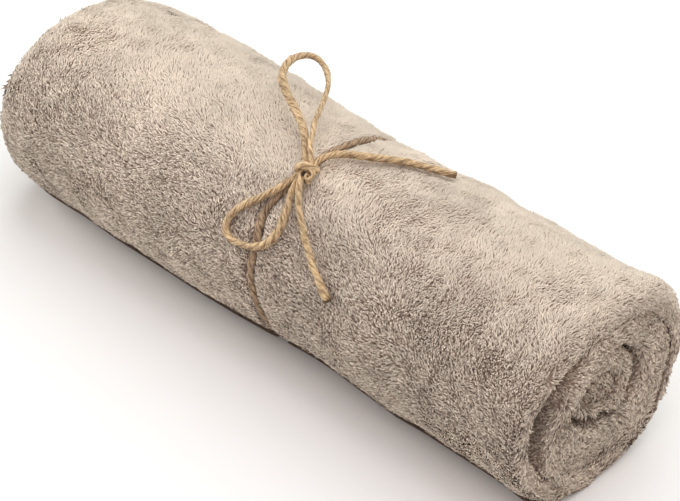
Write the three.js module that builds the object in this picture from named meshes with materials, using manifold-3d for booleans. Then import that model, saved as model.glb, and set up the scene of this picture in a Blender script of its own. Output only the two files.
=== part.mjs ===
// A bath towel of terry cloth, folded in four, rolled up and tied round the middle with jute twine.
// Millimetres, +Z up. X runs along the roll, the end that shows its winding is at +X,
// and the origin is on the surface below the middle of the roll.
// A clock angle is 0 at the top of the roll, 90 at the back (+Y) and -90 at the front (-Y).
// A place on the winding is told by how far it is wound in from the towel's free edge, in degrees.
import * as THREE from 'three';
import { mergeVertices } from 'three/addons/utils/BufferGeometryUtils.js';
import Module from 'manifold-3d';

const wasm = await Module();
wasm.setup();

// Driving sizes of the roll
const ROLL_LENGTH = 350;
const ROLL_WIDTH = 112;
const ROLL_HEIGHT = 101.6;
const SETTLED = 1.8;             // how much of the round underside has settled flat
const LOOSE_END_CLOCK = -134;    // where the towel's free edge lies, low on the front
const TURN_COLUMNS = 60;         // columns of points in one turn
const WOUND_TOTAL = 1530;        // degrees from the free edge to the middle of the core

// Driving sizes of the twine
const TWINE_DIAMETER = 3.7;
const TWINE_LAY = 12;            // length in which a ply winds once round the strand
const PLIES = 3;
const PLY_HOLLOW = 0.42;         // how far the hollow between two plies lies below their crowns
const PLY_SHOULDER = 40;         // degrees from the crown of a ply to its hollow
const STEPS_PER_LAY = 7;
const SEAT_GAP = 0.4;            // clear space between two pieces that touch on the real thing

const TERRY = { color: 0xb7a797, roughness: 0.95, metalness: 0 };
const JUTE = { color: 0xb08a58, roughness: 0.85, metalness: 0 };

const HALF_LENGTH = ROLL_LENGTH / 2;
const HALF_WIDTH = ROLL_WIDTH / 2;
const HALF_HEIGHT = ROLL_HEIGHT / 2;
const CENTRE_HEIGHT = HALF_HEIGHT - SETTLED;
const TWINE_RADIUS = TWINE_DIAMETER / 2;

// How deep the outside of the cloth lies below the roll's oval. The first turn is the outside of
// the roll. It dives under the free edge just before 360, and the turns below it end in the core.
const WINDING = [
  { wound: 0, inset: -0.5 },
  { wound: 40, inset: 0 },
  { wound: 300, inset: 0 },
  { wound: 318, inset: 0.3 },
  { wound: 332, inset: 0.9 },
  { wound: 344, inset: 2.4 },
  { wound: 352, inset: 4.6 },
  { wound: 360, inset: 7.6 },
  { wound: 378, inset: 9.4 },
  { wound: 390, inset: 9 },
  { wound: 416, inset: 8.2 },
  { wound: 436, inset: 10.4 },
  { wound: 471, inset: 12.6 },
  { wound: 501, inset: 13.6 },
  { wound: 526, inset: 12 },
  { wound: 546, inset: 12.8 },
  { wound: 571, inset: 12 },
  { wound: 601, inset: 12 },
  { wound: 634, inset: 9.8 },
  { wound: 656, inset: 10 },
  { wound: 676, inset: 11.6 },
  { wound: 698, inset: 12.4 },
  { wound: 721, inset: 14 },
  { wound: 749, inset: 17 },
  { wound: 774, inset: 20 },
  { wound: 799, inset: 23.6 },
  { wound: 854, inset: 24.2 },
  { wound: 894, inset: 26.4 },
  { wound: 949, inset: 31 },
  { wound: 989, inset: 28.4 },
  { wound: 1029, inset: 29.6 },
  { wound: 1066, inset: 33 },
  { wound: 1110, inset: 37.4 },
  { wound: 1166, inset: 39.4 },
  { wound: 1246, inset: 41 },
  { wound: 1336, inset: 42.4 },
  { wound: 1426, inset: 44.4 },
  { wound: 1530, inset: 46.2 },
];

// The ends of the roll: how far the crest of each turn stands back from the plane of the end, and
// how deep the crease on the outer side of the turn is
const NEAR_END = [
  { wound: 0, back: 2.5, crease: 4 },
  { wound: 19, back: 5, crease: 4 },
  { wound: 54, back: 6, crease: 4 },
  { wound: 89, back: 4.2, crease: 4 },
  { wound: 149, back: 2, crease: 4 },
  { wound: 209, back: 0.8, crease: 4 },
  { wound: 254, back: 1.4, crease: 4 },
  { wound: 296, back: 1.8, crease: 4 },
  { wound: 329, back: 2.4, crease: 4 },
  { wound: 366, back: 1, crease: 6 },
  { wound: 416, back: 0, crease: 6.5 },
  { wound: 466, back: 1.2, crease: 6 },
  { wound: 506, back: 2.8, crease: 5 },
  { wound: 546, back: 3.2, crease: 4.5 },
  { wound: 591, back: 2, crease: 4 },
  { wound: 636, back: 1, crease: 4.5 },
  { wound: 676, back: 0.6, crease: 6 },
  { wound: 716, back: 0.8, crease: 6.5 },
  { wound: 756, back: 2, crease: 6.5 },
  { wound: 801, back: 3.8, crease: 7 },
  { wound: 854, back: 5.4, crease: 6 },
  { wound: 901, back: 6.4, crease: 6 },
  { wound: 951, back: 5.6, crease: 7 },
  { wound: 989, back: 4, crease: 7 },
  { wound: 1031, back: 3.4, crease: 9 },
  { wound: 1066, back: 5, crease: 12 },
  { wound: 1110, back: 7, crease: 13 },
  { wound: 1166, back: 8.6, crease: 9 },
  { wound: 1246, back: 9, crease: 5 },
  { wound: 1336, back: 8, crease: 5 },
  { wound: 1426, back: 8.4, crease: 6 },
  { wound: 1530, back: 10, crease: 6 },
];
const FAR_END = [
  { wound: 0, back: 4.5, crease: 5 },
  { wound: 60, back: 5.5, crease: 5 },
  { wound: 120, back: 7, crease: 5 },
  { wound: 200, back: 6.4, crease: 5 },
  { wound: 260, back: 4, crease: 5 },
  { wound: 320, back: 3, crease: 5 },
  { wound: 420, back: 3.6, crease: 6 },
  { wound: 500, back: 5.2, crease: 5 },
  { wound: 580, back: 4.4, crease: 5 },
  { wound: 680, back: 1, crease: 6 },
  { wound: 760, back: 0.4, crease: 6 },
  { wound: 860, back: 2.2, crease: 6 },
  { wound: 960, back: 1.4, crease: 6 },
  { wound: 1100, back: 1.2, crease: 7 },
  { wound: 1260, back: 3, crease: 8 },
  { wound: 1440, back: 6, crease: 7 },
  { wound: 1530, back: 7, crease: 6 },
];
const FAR_DRAW_IN = 7;           // how much tighter the inner turns lie at the far end
const CORE_FULL_INSET = 50;
const NEAR_RIM_ALONG = 172;      // where the girth is read for the rim of each end
const FAR_RIM_ALONG = -170;
const TUCK_START = 300;          // where the first turn begins to leave the outside
const CORE = { middleAcross: 1.5, middleUp: -0.5, proud: 3 };

// One turn across at an end, from the crease on its outer side to the crease on its inner side.
// The rim is the same for the turn on the outside, which is rounded over instead of creased.
const FOLD = [
  { across: 0, down: 1 },
  { across: 0.2, down: 0.24 },
  { across: 0.5, down: 0 },
  { across: 0.8, down: 0.24 },
  { across: 1, down: 1 },
];
const RIM = [
  { across: 0.2, down: 0.26 },
  { across: 0.42, down: 0.03 },
  { across: 0.64, down: 0.03 },
  { across: 0.86, down: 0.34 },
  { across: 1, down: 1 },
];
const RIM_DROP = 9;
const RIM_REACH = 10;            // the near end starts to round over this far from its plane
const RIM_ROUND = 6.5;
const FREE_EDGE_SWELL = [0, 4.2, 5.6, 4, 0];   // degrees that the rounded free edge stands out

// How much the roll is fuller than its plain oval, on its upper back and its lower front
const GIRTH = [
  { along: -175, upper: -13, lower: -9.6 },
  { along: -170, upper: -10.8, lower: -6.8 },
  { along: -160, upper: -6, lower: -3 },
  { along: -150, upper: -2.4, lower: -0.8 },
  { along: -140, upper: 0.7, lower: -0.2 },
  { along: -120, upper: 1.7, lower: -0.4 },
  { along: -95, upper: 2.3, lower: 0.6 },
  { along: -70, upper: 1.8, lower: 0.5 },
  { along: -45, upper: 0.6, lower: 0.8 },
  { along: -25, upper: -0.9, lower: 0.6 },
  { along: -8, upper: -1.9, lower: 0.1 },
  { along: 10, upper: -2.1, lower: -0.8 },
  { along: 30, upper: -1.1, lower: -1.8 },
  { along: 45, upper: -1.2, lower: -1.6 },
  { along: 60, upper: 0.3, lower: -0.6 },
  { along: 72, upper: 0.9, lower: 0.1 },
  { along: 81, upper: -0.3, lower: 1 },
  { along: 95, upper: 0.3, lower: 0.4 },
  { along: 120, upper: 0.7, lower: 0.5 },
  { along: 149, upper: 0.1, lower: 0.9 },
  { along: 158, upper: 2.2, lower: 1.9 },
  { along: 168, upper: 2.6, lower: 1.8 },
  { along: 175, upper: 1.4, lower: 1 },
];
const GIRTH_UPPER_CLOCK = 48;

// Soft hollows (negative) and swellings pressed into the outside by hand
const UNEVEN = [
  { along: 62, clock: -28, reach: 24, spread: 20, height: -1.2 },
  { along: 92, clock: -78, reach: 14, spread: 22, height: -1.4 },
  { along: 112, clock: -35, reach: 22, spread: 18, height: 0.9 },
  { along: -60, clock: -70, reach: 34, spread: 24, height: 0.9 },
  { along: -118, clock: -22, reach: 22, spread: 20, height: -1.2 },
  { along: -142, clock: 12, reach: 14, spread: 16, height: -1.6 },
  { along: -20, clock: 70, reach: 40, spread: 22, height: 0.8 },
  { along: 118, clock: 95, reach: 30, spread: 24, height: 0.9 },
  { along: -100, clock: 105, reach: 30, spread: 20, height: -0.9 },
  { along: 176, clock: 42, reach: 12, spread: 16, height: 1.2 },
  { along: 178, clock: 86, reach: 14, spread: 28, height: -6 },
  { along: 178, clock: 103, reach: 26, spread: 14, height: -3.4 },
  { along: 176, clock: 120, reach: 22, spread: 18, height: -6 },
  { along: 174, clock: 162, reach: 14, spread: 14, height: -1.8 },
];

// Where the rows of points round the outside lie along the roll. The rows that line the
// twine's groove are counted from the twine.
const ROWS = [
  { along: -166 }, { along: -160 }, { along: -150 }, { along: -136 }, { along: -118 },
  { along: -98 }, { along: -78 }, { along: -60 }, { along: -44 }, { along: -30 }, { along: -17 },
  { fromTwine: -9 }, { fromTwine: -5 }, { fromTwine: -2.6 },
  { fromTwine: 2.6 }, { fromTwine: 5 }, { fromTwine: 9 },
  { along: 30 }, { along: 44 }, { along: 58 }, { along: 72 }, { along: 86 }, { along: 100 },
  { along: 115 }, { along: 130 }, { along: 144 }, { along: 155 }, { along: 163 }, { along: 169 },
];
const GROOVE_FLOOR = 2.6;        // half the width of the groove's floor, and half that of the groove
const GROOVE_BRIM = 9;
const BAND_MEAN_ALONG = 10;
const ROW_BEND = { nearTwine: 18, clearOfTwine: 70, nearEnd: 90, fullEnd: 150 };

// The twine's turn round the roll, from the knot over the top and back to the knot, and how
// deep the middle of the strand is sunk below the face of the pile
const BAND = [
  { clock: -22, along: 10.6, sunk: -0.9 },
  { clock: -15.9, along: 9.2, sunk: -0.4 },
  { clock: -8.8, along: 8.9, sunk: 0.3 },
  { clock: -1.8, along: 8.9, sunk: 0.6 },
  { clock: 5.8, along: 9.6, sunk: 0.7 },
  { clock: 13.4, along: 10.5, sunk: 0.9 },
  { clock: 22.3, along: 10.8, sunk: 1.4 },
  { clock: 34, along: 10.6, sunk: 2.2 },
  { clock: 46, along: 10.6, sunk: 2.7 },
  { clock: 60, along: 10.8, sunk: 2.6 },
  { clock: 90, along: 11.6, sunk: 2.2 },
  { clock: 135, along: 11.4, sunk: 2.2 },
  { clock: 180, along: 11.4, sunk: 2.2 },
  { clock: 215, along: 12.4, sunk: 2.4 },
  { clock: 230, along: 12.8, sunk: 2.6 },
  { clock: 244, along: 12.8, sunk: 2.3 },
  { clock: 256, along: 12.2, sunk: 1.6 },
  { clock: 263, along: 11.2, sunk: 1.3 },
  { clock: 269.8, along: 9.4, sunk: 1.2 },
  { clock: 276, along: 8, sunk: 1.2 },
  { clock: 283, along: 7.1, sunk: 1.3 },
  { clock: 290, along: 6.5, sunk: 1.5 },
  { clock: 298, along: 5.4, sunk: 1.5 },
  { clock: 304, along: 4, sunk: 1.4 },
  { clock: 309, along: 3.5, sunk: 1.3 },
  { clock: 315, along: 3.7, sunk: 1.2 },
  { clock: 321, along: 5, sunk: 1 },
  { clock: 328, along: 6, sunk: 0.6 },
  { clock: 334, along: 7.2, sunk: -0.3 },
  { clock: 338, along: 9, sunk: -0.9 },
];
const BAND_POINTS = 60;
const BAND_FLOOR_GAP = 0.35;     // the twine is pressed up into the pile under the roll

// The free strands. Each row is a point of the route: along the roll, round it, and how high the
// underside of the strand lies over the face of the pile.
const TOP_LOOP = [
  { along: 12.5, clock: -21.9, over: 3.2 },
  { along: 9.4, clock: -19.5, over: 3.8 },
  { along: 6.5, clock: -16.8, over: 4.2 },
  { along: 4, clock: -13.8, over: 4.6 },
  { along: 1.5, clock: -10.7, over: 5.1 },
  { along: -2.5, clock: -7.2, over: 5.7 },
  { along: -7.5, clock: -3.6, over: 6.4 },
  { along: -12.5, clock: -0.9, over: 7.2 },
  { along: -17.7, clock: 1.5, over: 8 },
  { along: -23.1, clock: 3.7, over: 8.8 },
  { along: -28.2, clock: 6.4, over: 9.6 },
  { along: -32.4, clock: 9.2, over: 10.4 },
  { along: -36, clock: 12.7, over: 11.3 },
  { along: -38.8, clock: 17.5, over: 12.2 },
  { along: -40.3, clock: 22.5, over: 13 },
  { along: -40.9, clock: 27.5, over: 13.5 },
  { along: -40.7, clock: 32.1, over: 13.6 },
  { along: -39, clock: 35.6, over: 13.2 },
  { along: -34.7, clock: 35.9, over: 12.6 },
  { along: -28.1, clock: 32.4, over: 11.9 },
  { along: -21.5, clock: 27.1, over: 11.2 },
  { along: -15.7, clock: 21, over: 10.5 },
  { along: -11.1, clock: 14.7, over: 9.8 },
  { along: -7.4, clock: 8.8, over: 9.1 },
  { along: -4.1, clock: 2.9, over: 8.6 },
  { along: -0.8, clock: -2.4, over: 8.3 },
  { along: 2.7, clock: -6.9, over: 8 },
  { along: 6.2, clock: -11, over: 7.6 },
  { along: 9.1, clock: -14.2, over: 6.9 },
  { along: 11.2, clock: -16.7, over: 5.8 },
  { along: 12.2, clock: -19, over: 4.4 },
  { along: 12.9, clock: -21.6, over: 3.2 },
];
const LEFT_LOOP = [
  { along: 12.1, clock: -22.8, over: 3.2 },
  { along: 9.7, clock: -27, over: 2.4 },
  { along: 7.7, clock: -31.6, over: 1.8 },
  { along: 5.2, clock: -37.2, over: 1.5 },
  { along: 1.6, clock: -42.5, over: 1.2 },
  { along: -2.3, clock: -47.6, over: 0.9 },
  { along: -5.7, clock: -51.9, over: 0.7 },
  { along: -8.5, clock: -56.4, over: 0.6 },
  { along: -9.8, clock: -60.8, over: 0.6 },
  { along: -9.4, clock: -64.7, over: 0.6 },
  { along: -7, clock: -67.5, over: 0.6 },
  { along: -2.6, clock: -68.4, over: 0.7 },
  { along: 3.4, clock: -67.4, over: 1.1 },
  { along: 9.3, clock: -65.3, over: 1.3 },
  { along: 13.6, clock: -62.3, over: 0.9 },
  { along: 15.9, clock: -57.8, over: 0.6 },
  { along: 16.6, clock: -52.8, over: 0.5 },
  { along: 15.8, clock: -46.8, over: 0.5 },
  { along: 14.3, clock: -41, over: 0.7 },
  { along: 12.5, clock: -35.8, over: 1.2 },
  { along: 11.4, clock: -30.8, over: 1.9 },
  { along: 11.4, clock: -25.1, over: 3 },
];
const TAIL_RIGHT = [
  { along: 12.5, clock: -20.5, over: 3.2 },
  { along: 12.8, clock: -16.5, over: 3.4 },
  { along: 12.8, clock: -12.4, over: 3 },
  { along: 13.7, clock: -8.6, over: 2.5 },
  { along: 14.9, clock: -5.1, over: 2.1 },
  { along: 17, clock: -1.9, over: 1.7 },
  { along: 20.4, clock: 1.3, over: 1.3 },
  { along: 24.7, clock: 4.2, over: 0.9 },
  { along: 29.6, clock: 7.8, over: 0.6 },
  { along: 34.4, clock: 11.6, over: 0.5 },
  { along: 39.2, clock: 15.5, over: 0.45 },
  { along: 44.2, clock: 19, over: 0.45 },
  { along: 49.7, clock: 21, over: 0.45 },
  { along: 54.8, clock: 22.6, over: 0.5 },
  { along: 58.9, clock: 24, over: 0.5 },
  { along: 61.7, clock: 25.6, over: 0.6 },
];
const TAIL_DOWN = [
  { along: 11.6, clock: -23.8, over: 3.2 },
  { along: 14, clock: -28.4, over: 4.5 },
  { along: 16.3, clock: -32, over: 4.8 },
  { along: 18.7, clock: -35.6, over: 4.3 },
  { along: 21.3, clock: -39.3, over: 3.2 },
  { along: 24.5, clock: -43.2, over: 2.1 },
  { along: 28.1, clock: -47, over: 1.3 },
  { along: 31.5, clock: -50.9, over: 0.8 },
  { along: 35.4, clock: -54.6, over: 0.55 },
  { along: 39.2, clock: -58.3, over: 0.45 },
  { along: 43.4, clock: -61.7, over: 0.45 },
  { along: 47.4, clock: -64.7, over: 0.45 },
  { along: 51.2, clock: -67.3, over: 0.5 },
  { along: 55, clock: -69.8, over: 0.6 },
];

// The knot keeps a stretch of every strand that leaves it, at the start and the end of its route
const KEPT_BY_KNOT = {
  bow_loop_top: { start: 7, end: 7 },
  bow_loop_left: { start: 11, end: 9 },
  tail_right: { start: 7, end: 0 },
  tail_down: { start: 7, end: 0 },
  twine_band: { start: 9, end: 9 },
};
const SEAM_GAP = 0.8;            // clear space between the knot and the strand that goes on from it
const POINT_SPACING = 2.5;

// The wrap of the bow round the strands in the middle of the knot
const KNOT_ALONG = 12.2;
const KNOT_CLOCK = -22;
const KNOT_OVER = 4.1;
const WRAP = { turns: 1.6, halfWidth: 3.7, halfHeight: 2.5, rise: 4.6, points: 22, startDegrees: -120 };

function radians(degrees) {
  return degrees * Math.PI / 180;
}

function mix(first, second, share) {
  return first + (second - first) * share;
}

// A smooth step from 0 to 1
function ramp(from, to, value) {
  const t = Math.min(1, Math.max(0, (value - from) / (to - from)));
  return t * t * (3 - 2 * t);
}

// A value read from a table along a smooth line through its rows
function readTable(table, keyColumn, column, at) {
  const last = table.length - 1;
  if (at <= table[0][keyColumn]) return table[0][column];
  if (at >= table[last][keyColumn]) return table[last][column];
  let row = 0;
  while (at > table[row + 1][keyColumn]) row += 1;
  const key = (i) => table[Math.min(last, Math.max(0, i))][keyColumn];
  const value = (i) => table[Math.min(last, Math.max(0, i))][column];
  const span = key(row + 1) - key(row);
  const slopeAt = (i) => (value(i + 1) - value(i - 1)) / (key(i + 1) - key(i - 1));
  const t = (at - key(row)) / span;
  const t2 = t * t;
  const t3 = t2 * t;
  return (2 * t3 - 3 * t2 + 1) * value(row) + (t3 - 2 * t2 + t) * slopeAt(row) * span
    + (3 * t2 - 2 * t3) * value(row + 1) + (t3 - t2) * slopeAt(row + 1) * span;
}

// A point of the roll's cross-section: lift is measured out from its plain oval
function rollPoint(along, clock, lift) {
  const across = Math.sin(radians(clock));
  const upward = Math.cos(radians(clock));
  const radius = 1 / Math.hypot(across / (HALF_WIDTH + lift), upward / (HALF_HEIGHT + lift));
  return new THREE.Vector3(along, radius * across, CENTRE_HEIGHT + radius * upward);
}

function clockGap(first, second) {
  return Math.abs(((first - second + 540) % 360) - 180);
}

// The outside of the roll
function girthLift(along, clock) {
  const upperShare = 0.5 + 0.5 * Math.cos(radians(clock - GIRTH_UPPER_CLOCK));
  const upper = readTable(GIRTH, 'along', 'upper', along);
  const lower = readTable(GIRTH, 'along', 'lower', along);
  let lift = mix(lower, upper, upperShare);
  for (const spot of UNEVEN) {
    const far = Math.hypot((along - spot.along) / spot.reach, clockGap(clock, spot.clock) / spot.spread);
    lift += spot.height * Math.exp(-far * far);
  }
  return lift;
}

function readBand(column, clock) {
  const start = BAND[0].clock;
  const clockFromStart = (((clock - start) % 360) + 360) % 360;
  return readTable(BAND, 'clock', column, start + clockFromStart);
}

// The middle of the twine round the roll lies level with the pile, and clear of the surface below
function bandLift(clock) {
  const along = readBand('along', clock);
  const lift = girthLift(along, clock) - readBand('sunk', clock);
  const lowest = TWINE_RADIUS + BAND_FLOOR_GAP;
  if (rollPoint(along, clock, lift).z >= lowest) return lift;
  const plain = rollPoint(along, clock, 0);
  const plainRadius = Math.hypot(plain.y, plain.z - CENTRE_HEIGHT);
  return (CENTRE_HEIGHT - lowest) / -Math.cos(radians(clock)) - plainRadius;
}

// The lift of the outside, with the groove that the twine presses into it
function outsideLift(along, clock, inset) {
  const fromTwine = Math.abs(along - readBand('along', clock));
  const pile = girthLift(along, clock) - inset;
  const groove = bandLift(clock) - TWINE_RADIUS - SEAT_GAP - Math.max(0, inset);
  return mix(groove, pile, ramp(GROOVE_FLOOR, GROOVE_BRIM, fromTwine));
}

// The ends of the roll
const TURN_STEP = 360 / TURN_COLUMNS;
const LAST_COLUMN = Math.round(WOUND_TOTAL / TURN_STEP);
const FOLD_POINTS = FOLD.length - 1;
const FOLD_MIDDLE = FOLD_POINTS / 2;
const ENDS = {
  near: { side: 1, table: NEAR_END, drawIn: 0, rimAlong: NEAR_RIM_ALONG },
  far: { side: -1, table: FAR_END, drawIn: FAR_DRAW_IN, rimAlong: FAR_RIM_ALONG },
};

function clockOfColumn(column) {
  return LOOSE_END_CLOCK + column * TURN_STEP;
}

function turnInset(column) {
  return readTable(WINDING, 'wound', 'inset', column * TURN_STEP);
}

function crestBack(end, column) {
  return readTable(end.table, 'wound', 'back', column * TURN_STEP);
}

function creaseBack(end, column) {
  const level = mix(crestBack(end, column), crestBack(end, column - TURN_COLUMNS), 0.5);
  return level + readTable(end.table, 'wound', 'crease', column * TURN_STEP);
}

function tuckedShare(column) {
  return column < TURN_COLUMNS ? ramp(TUCK_START, 360, column * TURN_STEP) : 1;
}

// Lift of a turn's outside at an end. Inside the roll the girth no longer matters.
function turnLift(end, column) {
  const inset = turnInset(column);
  const tuckedLift = -inset - end.drawIn * (1 - inset / CORE_FULL_INSET);
  if (column > TURN_COLUMNS) return tuckedLift;
  return mix(girthLift(end.rimAlong, clockOfColumn(column)) - inset, tuckedLift, tuckedShare(column));
}

function endPoint(end, column, foldIndex) {
  const fold = FOLD[foldIndex];
  const rim = RIM[foldIndex];
  const tucked = tuckedShare(column);
  const inward = foldIndex > FOLD_MIDDLE;
  const crest = crestBack(end, column);
  const creaseDrop = creaseBack(end, inward ? column + TURN_COLUMNS : column) - crest;
  const rimDrop = inward ? creaseDrop : RIM_DROP;
  const back = crest + mix(rim.down * rimDrop, fold.down * creaseDrop, tucked);
  const across = mix(rim.across, fold.across, tucked);
  const lift = mix(turnLift(end, column), turnLift(end, column + TURN_COLUMNS), across);
  const swell = column === 0 ? FREE_EDGE_SWELL[foldIndex] : 0;
  return rollPoint(end.side * (HALF_LENGTH - back), clockOfColumn(column) - swell, lift);
}

// A row's place along the roll: it bends with the twine's line and with the end of the roll
function rowAlong(row, column) {
  const twine = readBand('along', clockOfColumn(column));
  if (row.fromTwine !== undefined) return twine + row.fromTwine;
  const fromTwine = Math.abs(row.along - BAND_MEAN_ALONG);
  const bend = (twine - BAND_MEAN_ALONG) * (1 - ramp(ROW_BEND.nearTwine, ROW_BEND.clearOfTwine, fromTwine));
  const end = row.along > 0 ? ENDS.near : ENDS.far;
  const endShare = ramp(ROW_BEND.nearEnd, ROW_BEND.fullEnd, Math.abs(row.along));
  return row.along + bend - end.side * crestBack(end, column) * endShare;
}

// How much the near end has begun to round over at a row
function rimCut(row) {
  const past = Math.max(0, (row.along || 0) - (HALF_LENGTH - RIM_REACH)) / RIM_REACH;
  return RIM_ROUND * (1 - Math.sqrt(1 - past * past));
}

function sidePoint(row, column) {
  const clock = clockOfColumn(column);
  const along = rowAlong(row, column);
  return rollPoint(along, clock, outsideLift(along, clock, turnInset(column)) - rimCut(row));
}

// The free edge: a rounded end of the cloth between column 0 and the turn below it
function freeEdgePoint(row, foldIndex) {
  const between = sidePoint(row, 0).lerp(sidePoint(row, TURN_COLUMNS), FOLD[foldIndex].across);
  const clock = radians(LOOSE_END_CLOCK - FREE_EDGE_SWELL[foldIndex]);
  const out = Math.hypot(between.y, between.z - CENTRE_HEIGHT);
  return new THREE.Vector3(between.x, out * Math.sin(clock), CENTRE_HEIGHT + out * Math.cos(clock));
}

function restOnSurface(point) {
  point.z = Math.max(0, point.z);
  return point;
}

// The roll as one closed skin: its outside, its free edge and its two wound ends
function rollGeometry() {
  const numberOf = new Map();
  const positions = [];
  const triangles = [];
  const vertex = (name, makePoint) => {
    if (!numberOf.has(name)) {
      numberOf.set(name, positions.length / 3);
      positions.push(...restOnSurface(makePoint()).toArray());
    }
    return numberOf.get(name);
  };
  const endVertex = (endName, column, foldIndex) => {
    if (foldIndex === FOLD_POINTS) return endVertex(endName, column + TURN_COLUMNS, 0);
    return vertex(`${endName} ${column} ${foldIndex}`, () => endPoint(ENDS[endName], column, foldIndex));
  };
  const rowCount = ROWS.length;
  const sideVertex = (rowNumber, column) => {
    if (rowNumber < 0) return endVertex('far', column, 0);
    if (rowNumber >= rowCount) return endVertex('near', column, 0);
    return vertex(`row ${rowNumber} ${column}`, () => sidePoint(ROWS[rowNumber], column));
  };
  const edgeVertex = (rowNumber, foldIndex) => {
    if (rowNumber < 0) return endVertex('far', 0, foldIndex);
    if (rowNumber >= rowCount) return endVertex('near', 0, foldIndex);
    if (foldIndex === 0) return sideVertex(rowNumber, 0);
    if (foldIndex === FOLD_POINTS) return sideVertex(rowNumber, TURN_COLUMNS);
    return vertex(`edge ${rowNumber} ${foldIndex}`, () => freeEdgePoint(ROWS[rowNumber], foldIndex));
  };
  const quad = (a, b, c, d) => {
    triangles.push(a, b, c, a, c, d);
  };
  for (let rowNumber = -1; rowNumber < rowCount; rowNumber += 1) {
    for (let column = 0; column < TURN_COLUMNS; column += 1) {
      quad(
        sideVertex(rowNumber, column),
        sideVertex(rowNumber + 1, column),
        sideVertex(rowNumber + 1, column + 1),
        sideVertex(rowNumber, column + 1),
      );
    }
    for (let foldIndex = 0; foldIndex < FOLD_POINTS; foldIndex += 1) {
      quad(
        edgeVertex(rowNumber, foldIndex),
        edgeVertex(rowNumber, foldIndex + 1),
        edgeVertex(rowNumber + 1, foldIndex + 1),
        edgeVertex(rowNumber + 1, foldIndex),
      );
    }
  }
  const coreStart = LAST_COLUMN - TURN_COLUMNS;
  for (const endName of ['near', 'far']) {
    const end = ENDS[endName];
    const facing = (a, b, c) => (end.side > 0 ? triangles.push(a, c, b) : triangles.push(a, b, c));
    for (let column = 0; column < coreStart; column += 1) {
      for (let foldIndex = 0; foldIndex < FOLD_POINTS; foldIndex += 1) {
        const a = endVertex(endName, column, foldIndex);
        const b = endVertex(endName, column + 1, foldIndex);
        const c = endVertex(endName, column + 1, foldIndex + 1);
        const d = endVertex(endName, column, foldIndex + 1);
        facing(a, b, c);
        facing(a, c, d);
      }
    }
    const rim = [];
    for (let column = coreStart; column <= LAST_COLUMN; column += 1) {
      rim.push(endVertex(endName, column, 0));
    }
    for (let foldIndex = FOLD_POINTS - 1; foldIndex > 0; foldIndex -= 1) {
      rim.push(endVertex(endName, coreStart, foldIndex));
    }
    const coreAlong = end.side * (HALF_LENGTH - creaseBack(end, LAST_COLUMN) + CORE.proud);
    const middle = vertex(`${endName} core`, () => (
      new THREE.Vector3(coreAlong, CORE.middleAcross, CENTRE_HEIGHT + CORE.middleUp)
    ));
    rim.forEach((corner, i) => facing(corner, rim[(i + 1) % rim.length], middle));
  }
  const geometry = new THREE.BufferGeometry();
  geometry.setAttribute('position', new THREE.Float32BufferAttribute(positions, 3));
  geometry.setIndex(triangles);
  return geometry;
}

// A route whose section turns with the lay of the plies
class TwineRoute extends THREE.CatmullRomCurve3 {
  constructor(points) {
    super(points, false, 'centripetal');
  }

  computeFrenetFrames(segments, closed) {
    const frames = super.computeFrenetFrames(segments, closed);
    const turnPerStep = 2 * Math.PI * this.getLength() / segments / TWINE_LAY;
    frames.tangents.forEach((tangent, step) => {
      frames.normals[step].applyAxisAngle(tangent, step * turnPerStep);
      frames.binormals[step].applyAxisAngle(tangent, step * turnPerStep);
    });
    return frames;
  }
}

function plySection() {
  const hollow = TWINE_RADIUS - PLY_HOLLOW;
  const corners = [];
  for (let ply = 0; ply < PLIES; ply += 1) {
    for (const [turn, radius] of [[-PLY_SHOULDER, hollow], [0, TWINE_RADIUS], [PLY_SHOULDER, hollow]]) {
      const angle = radians(360 / PLIES * ply + turn);
      corners.push(new THREE.Vector2(radius * Math.cos(angle), radius * Math.sin(angle)));
    }
  }
  return new THREE.Shape(corners);
}

function strandGeometry(route) {
  const steps = Math.max(2, Math.round(route.getLength() / TWINE_LAY * STEPS_PER_LAY));
  const geometry = new THREE.ExtrudeGeometry(plySection(), { steps, extrudePath: route });
  geometry.deleteAttribute('normal');
  geometry.deleteAttribute('uv');
  return mergeVertices(geometry);
}

// The stretch of a route between two distances from its start
function stretchOf(route, from, to) {
  const length = route.getLength();
  const count = Math.max(4, Math.round((to - from) / POINT_SPACING));
  const points = [];
  for (let i = 0; i <= count; i += 1) {
    points.push(route.getPointAt(Math.min(1, mix(from, to, i / count) / length)));
  }
  return new TwineRoute(points);
}

function routeOf(table) {
  return new TwineRoute(table.map((row) => {
    const pile = girthLift(row.along, row.clock);
    return rollPoint(row.along, row.clock, pile + row.over + TWINE_RADIUS);
  }));
}

function bandRoute() {
  const points = [];
  for (let i = 0; i <= BAND_POINTS; i += 1) {
    const clock = mix(BAND[0].clock, BAND[0].clock + 360 - 1e-6, i / BAND_POINTS);
    points.push(rollPoint(readBand('along', clock), clock, bandLift(clock)));
  }
  return new TwineRoute(points);
}

function wrapRoute() {
  const lift = girthLift(KNOT_ALONG, KNOT_CLOCK) + KNOT_OVER + TWINE_RADIUS;
  const centre = rollPoint(KNOT_ALONG, KNOT_CLOCK, lift);
  const outward = rollPoint(KNOT_ALONG, KNOT_CLOCK, lift + 1).sub(centre);
  const along = new THREE.Vector3(1, 0, 0);
  const round = new THREE.Vector3().crossVectors(outward, along);
  const points = [];
  for (let i = 0; i < WRAP.points; i += 1) {
    const share = i / (WRAP.points - 1);
    const angle = radians(WRAP.startDegrees + 360 * WRAP.turns * share);
    points.push(centre.clone()
      .addScaledVector(along, WRAP.halfWidth * Math.sin(angle))
      .addScaledVector(outward, WRAP.halfHeight * Math.cos(angle))
      .addScaledVector(round, WRAP.rise * (share - 0.5)));
  }
  return new TwineRoute(points);
}

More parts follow.
